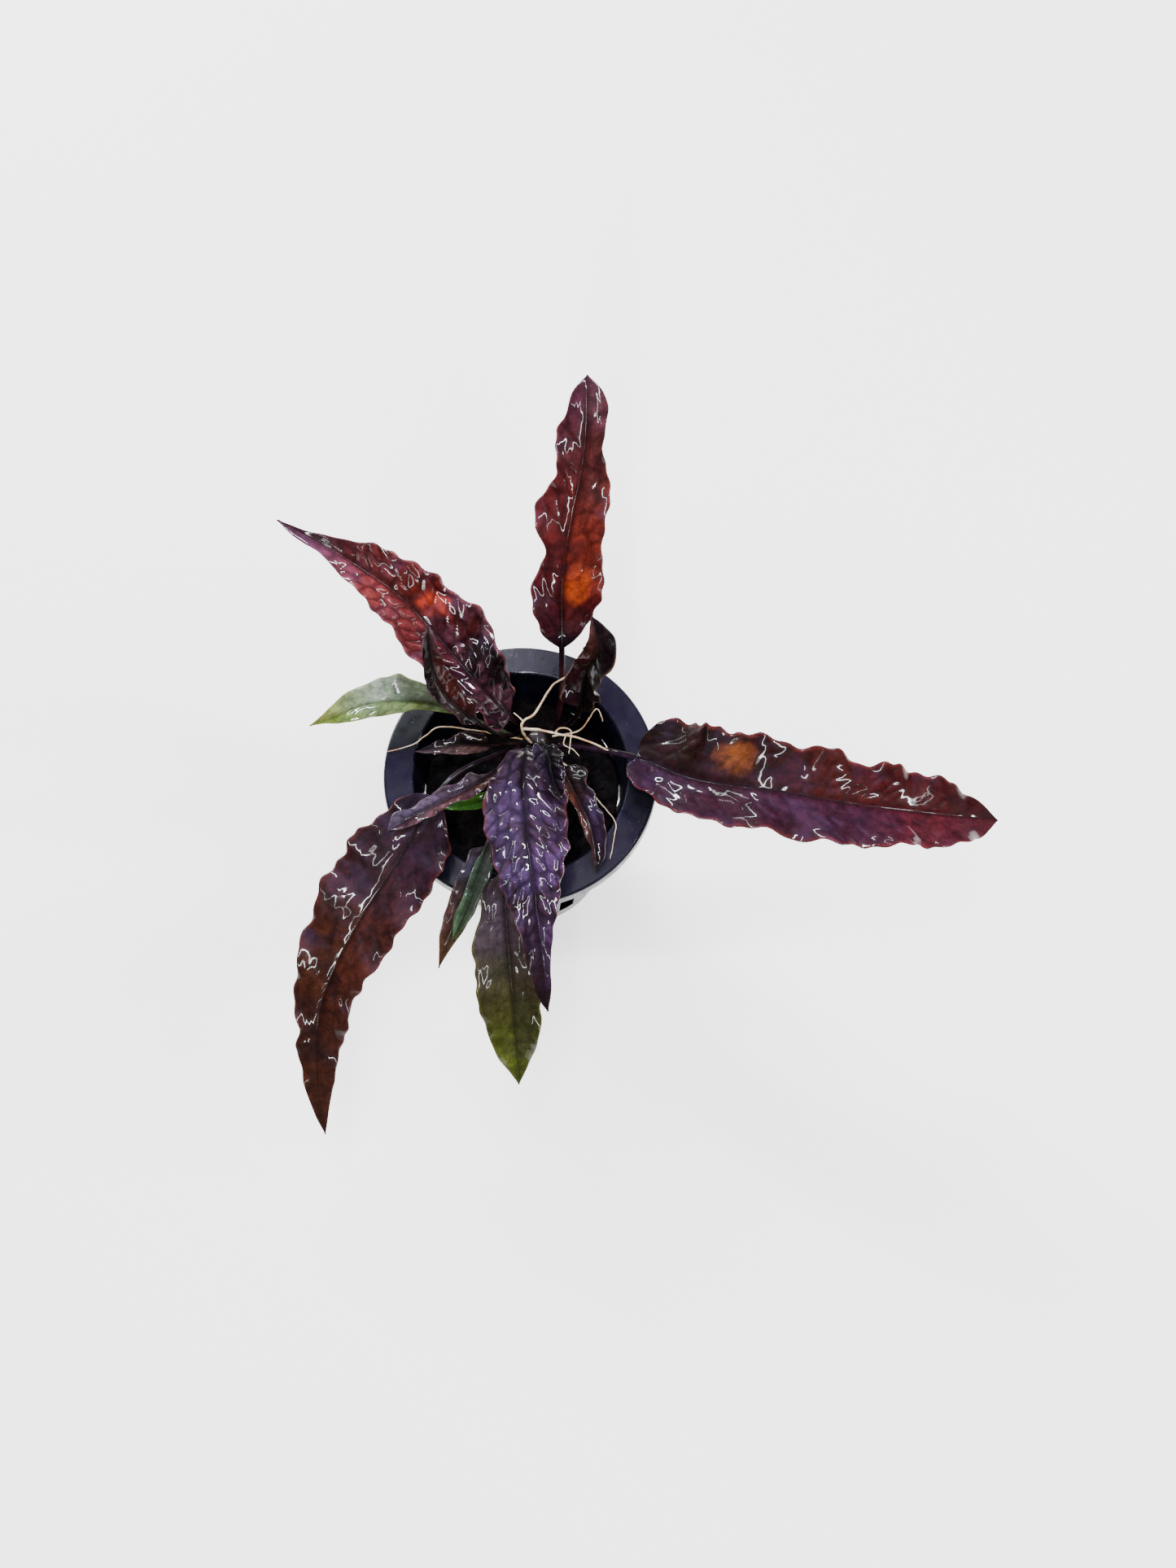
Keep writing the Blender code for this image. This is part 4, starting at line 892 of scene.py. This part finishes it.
# %% The growing medium
GAP = 0.3
MEDIUM_TOP = 35.5
TOP_FIBRES = 700
SIDE_FIBRES = 700
FIBRE_POINTS = 6
FIBRE_SIDES = 4


def rough(points, seed, size):
    """Smooth noise from -1 to 1 at points: twenty sine waves in seeded directions, of a given size."""
    rng = np.random.default_rng(seed)
    waves = rng.normal(size=(20, 3)) * 2 * math.pi / size / 1.7
    phase = rng.uniform(0, 2 * math.pi, 20)
    return np.sin(points @ waves.T + phase).sum(axis=-1) / math.sqrt(40)


def fibres(middles, headings, lengths, thickness, rng):
    """Bent tubes: points along a heading, bowed aside and up by a sine, with a square of sides round each."""
    count = len(middles)
    t = np.linspace(-0.5, 0.5, FIBRE_POINTS)
    aside = np.cross(headings, rng.normal(size=(count, 3)))
    aside /= np.linalg.norm(aside, axis=1, keepdims=True)
    bow = rng.uniform(-0.35, 0.35, count) * lengths
    line = (middles[:, None] + headings[:, None] * (t[None, :, None] * lengths[:, None, None])
            + aside[:, None] * (bow[:, None, None] * (np.cos(math.pi * t) - 0.5)[None, :, None]))
    over = np.cross(headings, aside)
    turn = 2 * math.pi * np.arange(FIBRE_SIDES) / FIBRE_SIDES
    ring = aside[:, None] * np.cos(turn)[None, :, None] + over[:, None] * np.sin(turn)[None, :, None]
    taper = (1 - 0.8 * (2 * np.abs(t)) ** 3)[None, :, None, None]
    points = line[:, :, None, :] + ring[:, None] * thickness[:, None, None, None] * taper
    quads = ring_faces(FIBRE_POINTS, FIBRE_SIDES)
    ends = np.array([[3, 2, 1, 0], np.arange(4) + (FIBRE_POINTS - 1) * FIBRE_SIDES])
    one = np.vstack([quads, ends])
    step = FIBRE_POINTS * FIBRE_SIDES
    return points.reshape(-1, 3), (one[None] + step * np.arange(count)[:, None, None]).reshape(-1, 4)


def medium_piece(material):
    """A lumpy plug inside the basket, with fibres over its top and its side."""
    inset = WALL + GAP
    foot = FLOOR + GAP
    shares = np.linspace(0.0, 1.0, 70)[:, None]
    turn = np.linspace(0.0, 2 * math.pi, 120, endpoint=False)[None, :]
    height = foot + (MEDIUM_TOP - foot) * np.clip(shares / 0.6, 0.0, 1.0)
    inward = np.clip((shares - 0.6) / 0.4, 0.0, 1.0)
    radius = (wall_radius(height) - inset) * (1 - 0.985 * inward)
    flat = np.stack([radius * np.cos(turn), radius * np.sin(turn), np.broadcast_to(height, (70, 120))],
                    axis=-1)
    lump = rough(flat, 5, 3.2) * 0.35 + rough(flat, 6, 1.1) * 0.16
    outwards = np.stack([np.cos(turn) + 0 * flat[..., 0], np.sin(turn) + 0 * flat[..., 0],
                         np.zeros(flat.shape[:2])], axis=-1)
    rise = (inward > 0.02).astype(float)[..., None]
    push = outwards * (1 - rise) + np.array([0.0, 0.0, 1.0]) * rise
    depth = np.where(inward > 0.02, 1.0, 0.15) * (np.minimum(lump, 0.25) - 0.25)
    rings = flat + push * depth[..., None]
    points, quads, fans = skin_of_rings(rings, np.array([0.0, 0.0, foot]), rings[-1].mean(axis=0))

    rng = np.random.default_rng(41)
    spot = rng.uniform(0, 2 * math.pi, TOP_FIBRES)
    reach = 15.6 * np.sqrt(rng.uniform(0.0, 1.0, TOP_FIBRES))
    middles = np.stack([reach * np.cos(spot), reach * np.sin(spot),
                        MEDIUM_TOP - 0.3 + rng.uniform(0.0, 0.5, TOP_FIBRES)], axis=-1)
    way = rng.uniform(0, 2 * math.pi, TOP_FIBRES)
    headings = np.stack([np.cos(way), np.sin(way), rng.uniform(-0.12, 0.12, TOP_FIBRES)], axis=-1)
    on_top = fibres(middles, headings, rng.uniform(2.0, 4.4, TOP_FIBRES), rng.uniform(0.04, 0.11, TOP_FIBRES),
                    rng)
    spot = rng.uniform(0, 2 * math.pi, SIDE_FIBRES)
    level = rng.uniform(5.0, 34.0, SIDE_FIBRES)
    reach = wall_radius(level) - inset - 0.05
    middles = np.stack([reach * np.cos(spot), reach * np.sin(spot), level], axis=-1)
    lean = rng.uniform(-1.2, 1.2, SIDE_FIBRES)
    headings = np.stack([-np.sin(spot) * np.cos(lean), np.cos(spot) * np.cos(lean), np.sin(lean)], axis=-1)
    on_side = fibres(middles, headings, rng.uniform(1.2, 2.8, SIDE_FIBRES),
                     rng.uniform(0.04, 0.10, SIDE_FIBRES), rng)
    start = len(points)
    more = start + len(on_top[0])
    everything = np.vstack([points, on_top[0], on_side[0]])
    faces = np.vstack([quads, on_top[1] + start, on_side[1] + more])
    return make_piece("growing_medium_plug", everything, faces, fans, "growing_medium", "growing_medium",
                      material)


def medium_finish():
    """Wet fibre coloured near black as painted shade deep in the pot, with brown strands and a little shine
    from the water.
    """
    tree = Tree("wet_fibre")
    # Painted shade: these near-black colours stand for the deep shade inside the pot.
    colour = tree.mix(tree.fade(tree.noise(700.0, 4.0), 0.35, 0.7), pigment((5, 3, 4)), pigment((13, 8, 8)))
    colour = tree.mix(tree.fade(tree.noise(120.0, 3.0), 0.5, 0.75), colour, pigment((21, 13, 11)))
    tree.put("Base Color", colour)
    tree.put("Roughness", tree.fade(tree.noise(500.0), 0.3, 0.7, 0.45, 0.85))
    tree.put("Specular IOR Level", 0.06)
    tree.put("Normal", tree.bump(tree.noise(2600.0, 4.0), 0.0001))
    return tree.material


medium = medium_piece(medium_finish())
print("growing medium faces:", len(medium.data.polygons))

# %% [markdown]
# The crown is the thick short stem under the leaves.  Old leaves leave ring-shaped scars on it, so its
# radius ripples with height and wanders round it.

# %% The crown
CROWN_AT = (3.0, 7.2)
CROWN_RADIUS = 2.5
CROWN_TOP = 44.5


def crown_piece(material):
    """Rings whose radius is a slow swell, less narrow scars at even heights, less a taper to the top."""
    foot = MEDIUM_TOP + GAP
    share = np.linspace(0.0, 1.0, 90)[:, None]
    turn = np.linspace(0.0, 2 * math.pi, 64, endpoint=False)[None, :]
    swell = CROWN_RADIUS * (0.85 + 0.12 * np.sin(math.pi * share)) - 0.5 * share
    scars = 0.16 * np.exp(-(np.sin(6 * math.pi * share + 0.6 * np.sin(turn)) / 0.22) ** 2)
    close = np.sqrt(np.clip(1 - np.clip((share - 0.9) / 0.1, 0, 1) ** 2, 0.0004, 1))
    radius = (swell - scars + 0.10 * np.sin(3 * turn + 5 * share)) * close
    height = np.broadcast_to(foot + (CROWN_TOP - foot) * share, radius.shape)
    rings = np.stack([CROWN_AT[0] + radius * np.cos(turn), CROWN_AT[1] + radius * np.sin(turn), height],
                     axis=-1)
    skin = skin_of_rings(rings, np.array((*CROWN_AT, foot)), np.array((*CROWN_AT, CROWN_TOP)))
    return make_piece("crown_stem", *skin, "crown", "crown_tissue", material)


def crown_finish():
    """Dark brown stem tissue with paler patches, wet."""
    tree = Tree("stem_tissue")
    patches = tree.fade(tree.noise(500.0, 4.0), 0.35, 0.7)
    colour = tree.mix(patches, pigment((24, 18, 15)), pigment((52, 38, 26)))
    tree.put("Base Color", colour)
    tree.put("Roughness", tree.fade(tree.noise(900.0), 0.3, 0.7, 0.35, 0.6))
    tree.put("Specular IOR Level", 0.2)
    tree.put("Coat Weight", 0.4)
    tree.put("Coat Roughness", 0.1)
    tree.put("Normal", tree.bump(tree.noise(1600.0, 4.0), 0.0001))
    return tree.material


crown = crown_piece(crown_finish())
print("crown faces:", len(crown.data.polygons))

# %% [markdown]
# Cream roots spring from the crown as well.  The thickest forks on top of the rosette: one arm crosses to
# the right with two curling rootlets, the other climbs to the back.  Each run is a tube whose radius
# wanders a little, and the runs of one root are one piece.

# %% The roots
ROOT_SIDES = 14
ROOTS = {
    "root_main": (
        (0.26, ((1.9, 5.6, 45.2), (0.9, 5.2, 49.5), (0.4, 5.6, 53.0), (1.0, 6.6, 53.8), (2.8, 7.8, 54.2),
                (5.9, 12.8, 54.8), (9.6, 15.5, 54.0))),
        (0.26, ((0.35, 5.5, 52.6), (3.3, 4.9, 53.4), (6.4, 4.3, 53.2), (9.2, 3.9, 52.8), (11.9, 3.3, 52.2),
                (16.0, 2.1, 50.6))),
        (0.15, ((0.9, 6.3, 53.5), (-0.2, 7.5, 53.4), (-1.1, 8.3, 53.0))),
        (0.15, ((6.3, 4.35, 53.2), (7.3, 5.0, 54.0), (8.9, 4.7, 54.2), (9.3, 3.6, 54.2), (8.8, 0.7, 52.2))),
        (0.12, ((8.3, 4.05, 53.0), (8.0, 1.9, 53.8), (9.5, 1.3, 53.0), (10.8, 0.4, 52.0))),
    ),
    "root_left": (
        (0.18, ((0.2, 7.6, 41.6), (-4.2, 7.3, 44.8), (-8.0, 7.4, 46.6), (-14.6, 7.8, 47.5),
                (-17.3, 6.4, 46.6), (-20.0, 4.8, 45.9), (-24.4, 3.7, 45.6))),
    ),
    "root_back": (
        (0.17, ((5.8, 7.6, 43.4), (10.8, 7.7, 46.2), (13.6, 10.2, 50.0), (14.6, 9.6, 49.0),
                (15.0, 9.0, 47.0))),
    ),
    "root_front": (
        (0.15, ((5.3, 5.4, 41.0), (9.0, 1.0, 43.6), (14.2, -5.6, 45.0), (17.1, -9.8, 45.8),
                (16.9, -13.0, 45.7), (16.3, -16.9, 45.5))),
    ),
}


def root_run(radius, points):
    """A round tube that narrows to its end and swells and shrinks a little on the way."""
    _, length = smooth_route(points, np.array([0.0]))
    shares = np.linspace(0.0, 1.0, int(length / 0.15))
    route, _ = smooth_route(points, shares)
    route = route + 0.06 * np.stack([rough(route, 70 + k, 2.0) for k in range(3)], axis=-1)
    side, normal = frames_along(route, np.zeros(len(route)))
    turn = 2 * math.pi * np.arange(ROOT_SIDES) / ROOT_SIDES
    body = radius * (1 - 0.45 * shares) * (1 + 0.08 * rough(route, 80, 1.2))
    close = np.sqrt(np.clip(1 - (1 - (1 - shares) / 0.02).clip(0, 1) ** 2, 0.01, 1))
    body = (body * close)[:, None, None]
    rings = route[:, None] + body * (np.cos(turn)[:, None] * side[:, None]
                                     + np.sin(turn)[:, None] * normal[:, None])
    return skin_of_rings(rings, route[0], route[-1])


def root_piece(name, runs, material):
    skins = [root_run(radius, points) for radius, points in runs]
    starts = np.cumsum([0] + [len(skin[0]) for skin in skins])
    points = np.vstack([skin[0] for skin in skins])
    quads = np.vstack([skin[1] + start for skin, start in zip(skins, starts)])
    fans = np.vstack([skin[2] + start for skin, start in zip(skins, starts)])
    return make_piece(name + "_skin", points, quads, fans, name, "root_tissue", material)


def root_finish():
    """Cream root with tan patches, a little see-through and wet."""
    tree = Tree("root_skin")
    colour = tree.mix(tree.fade(tree.noise(380.0, 3.0), 0.38, 0.66), srgb(218, 198, 160), srgb(168, 130, 88))
    colour = tree.mix(tree.fade(tree.noise(1500.0, 2.0), 0.55, 0.8, 0.0, 0.5), colour, srgb(122, 88, 56))
    tree.put("Base Color", colour)
    tree.put("Roughness", tree.fade(tree.noise(900.0), 0.3, 0.7, 0.35, 0.6))
    tree.put("Subsurface Weight", 0.2)
    tree.put("Subsurface Radius", (0.0008, 0.0005, 0.0003))
    tree.put("Subsurface Scale", 1.0)
    tree.put("Coat Weight", 0.8)
    tree.put("Coat Roughness", 0.08)
    tree.put("Normal", tree.bump(tree.noise(2200.0, 3.0), 0.00006))
    return tree.material


root_skin = root_finish()
for name, runs in ROOTS.items():
    print(name, len(root_piece(name, runs, root_skin).data.polygons), "faces")

# %% [markdown]
# The floor is plain, and its material glows a little so that it stays pale.  Three long thin lamps light
# the plant, and the wet film turns each of them into thin bright lines.  A wide violet glow in the world,
# overhead and a little to the back, gives the film its soft sheen.  No lamp stands where the pot's flat
# flange would mirror it into the camera.

# %% Floor, lights and world
FLOOR_HALF = 1.5
GLOW = 1.5
GLOW_FROM = (0.0, 0.36, 0.93)
GLOW_EDGE = 0.60


def floor_plane():
    mesh = bpy.data.meshes.new("floor")
    corners = [(-FLOOR_HALF, -FLOOR_HALF, 0), (FLOOR_HALF, -FLOOR_HALF, 0), (FLOOR_HALF, FLOOR_HALF, 0),
               (-FLOOR_HALF, FLOOR_HALF, 0)]
    mesh.from_pydata(corners, [], [(0, 1, 2, 3)])
    tree = Tree("pale_floor")
    tree.put("Base Color", tree.mix(tree.noise(9.0), srgb(240, 238, 228), srgb(244, 242, 234)))
    tree.put("Roughness", 0.9)
    tree.put("Specular IOR Level", 0.1)
    tree.put("Emission Color", (1.0, 1.0, 1.0, 1.0))
    tree.put("Emission Strength", 1.7)
    mesh.materials.append(tree.material)
    plane = bpy.data.objects.new("floor", mesh)
    bpy.context.scene.collection.objects.link(plane)
    return plane


def area_light(name, place, size, power, colour, turn=0.0, aim=(0.0, 0.0, 0.05)):
    """A rectangular light at a place in metres that faces a point, turned about its own axis in degrees."""
    data = bpy.data.lights.new(name, "AREA")
    data.shape = "RECTANGLE"
    data.size, data.size_y = size
    data.energy = power
    data.color = colour
    lamp = bpy.data.objects.new(name, data)
    lamp.location = place
    away = np.array(place) - np.array(aim)
    away /= np.linalg.norm(away)
    across = np.cross((0.0, 1.0, 0.0), away)
    across /= np.linalg.norm(across)
    upward = np.cross(away, across)
    c, s = math.cos(math.radians(turn)), math.sin(math.radians(turn))
    across, upward = c * across + s * upward, c * upward - s * across
    lamp.rotation_euler = matrix_euler(across, upward, away)
    bpy.context.scene.collection.objects.link(lamp)
    return lamp


def matrix_euler(x, y, z):
    """Euler angles of the turn whose axes are the three unit vectors."""
    return Matrix(np.column_stack([x, y, z]).tolist()).to_euler()


floor_plane()
area_light("lamp_back", (-0.30, 0.47, 0.40), (0.70, 0.028), 8.8, (0.93, 0.98, 1.0))
area_light("lamp_right", (0.430, 0.020, 0.470), (0.36, 0.022), 3.7, (0.93, 0.98, 1.0))
area_light("lamp_front", (-0.040, -0.264, 0.644), (0.80, 0.020), 6.0, (0.98, 0.99, 1.0), 90.0)


def studio_world():
    """A soft glow overhead that the film mirrors, nearly black elsewhere, but pale behind the plant."""
    world = bpy.data.worlds.new("studio")
    world.use_nodes = True
    nodes, links = world.node_tree.nodes, world.node_tree.links
    facing = nodes.new("ShaderNodeVectorMath")
    facing.operation = "DOT_PRODUCT"
    links.new(nodes.new("ShaderNodeTexCoord").outputs["Generated"], facing.inputs[0])
    facing.inputs[1].default_value = GLOW_FROM
    glow = nodes.new("ShaderNodeMapRange")
    glow.interpolation_type = "SMOOTHSTEP"
    for name, value in (("From Min", GLOW_EDGE), ("From Max", 1.0), ("To Min", 0.05), ("To Max", GLOW)):
        glow.inputs[name].default_value = value
    links.new(facing.outputs["Value"], glow.inputs["Value"])
    strength = nodes.new("ShaderNodeMix")
    links.new(nodes.new("ShaderNodeLightPath").outputs["Is Camera Ray"], strength.inputs["Factor"])
    links.new(glow.outputs["Result"], strength.inputs["A"])
    strength.inputs["B"].default_value = 1.8
    tint = nodes.new("ShaderNodeMix")
    tint.data_type = "RGBA"
    links.new(nodes["Light Path"].outputs["Is Camera Ray"], tint.inputs[0])
    tint.inputs[6].default_value = (0.58, 0.36, 1.0, 1.0)
    tint.inputs[7].default_value = (1.0, 1.0, 1.0, 1.0)
    links.new(strength.outputs["Result"], nodes["Background"].inputs["Strength"])
    links.new(tint.outputs[2], nodes["Background"].inputs["Color"])
    bpy.context.scene.world = world


studio_world()
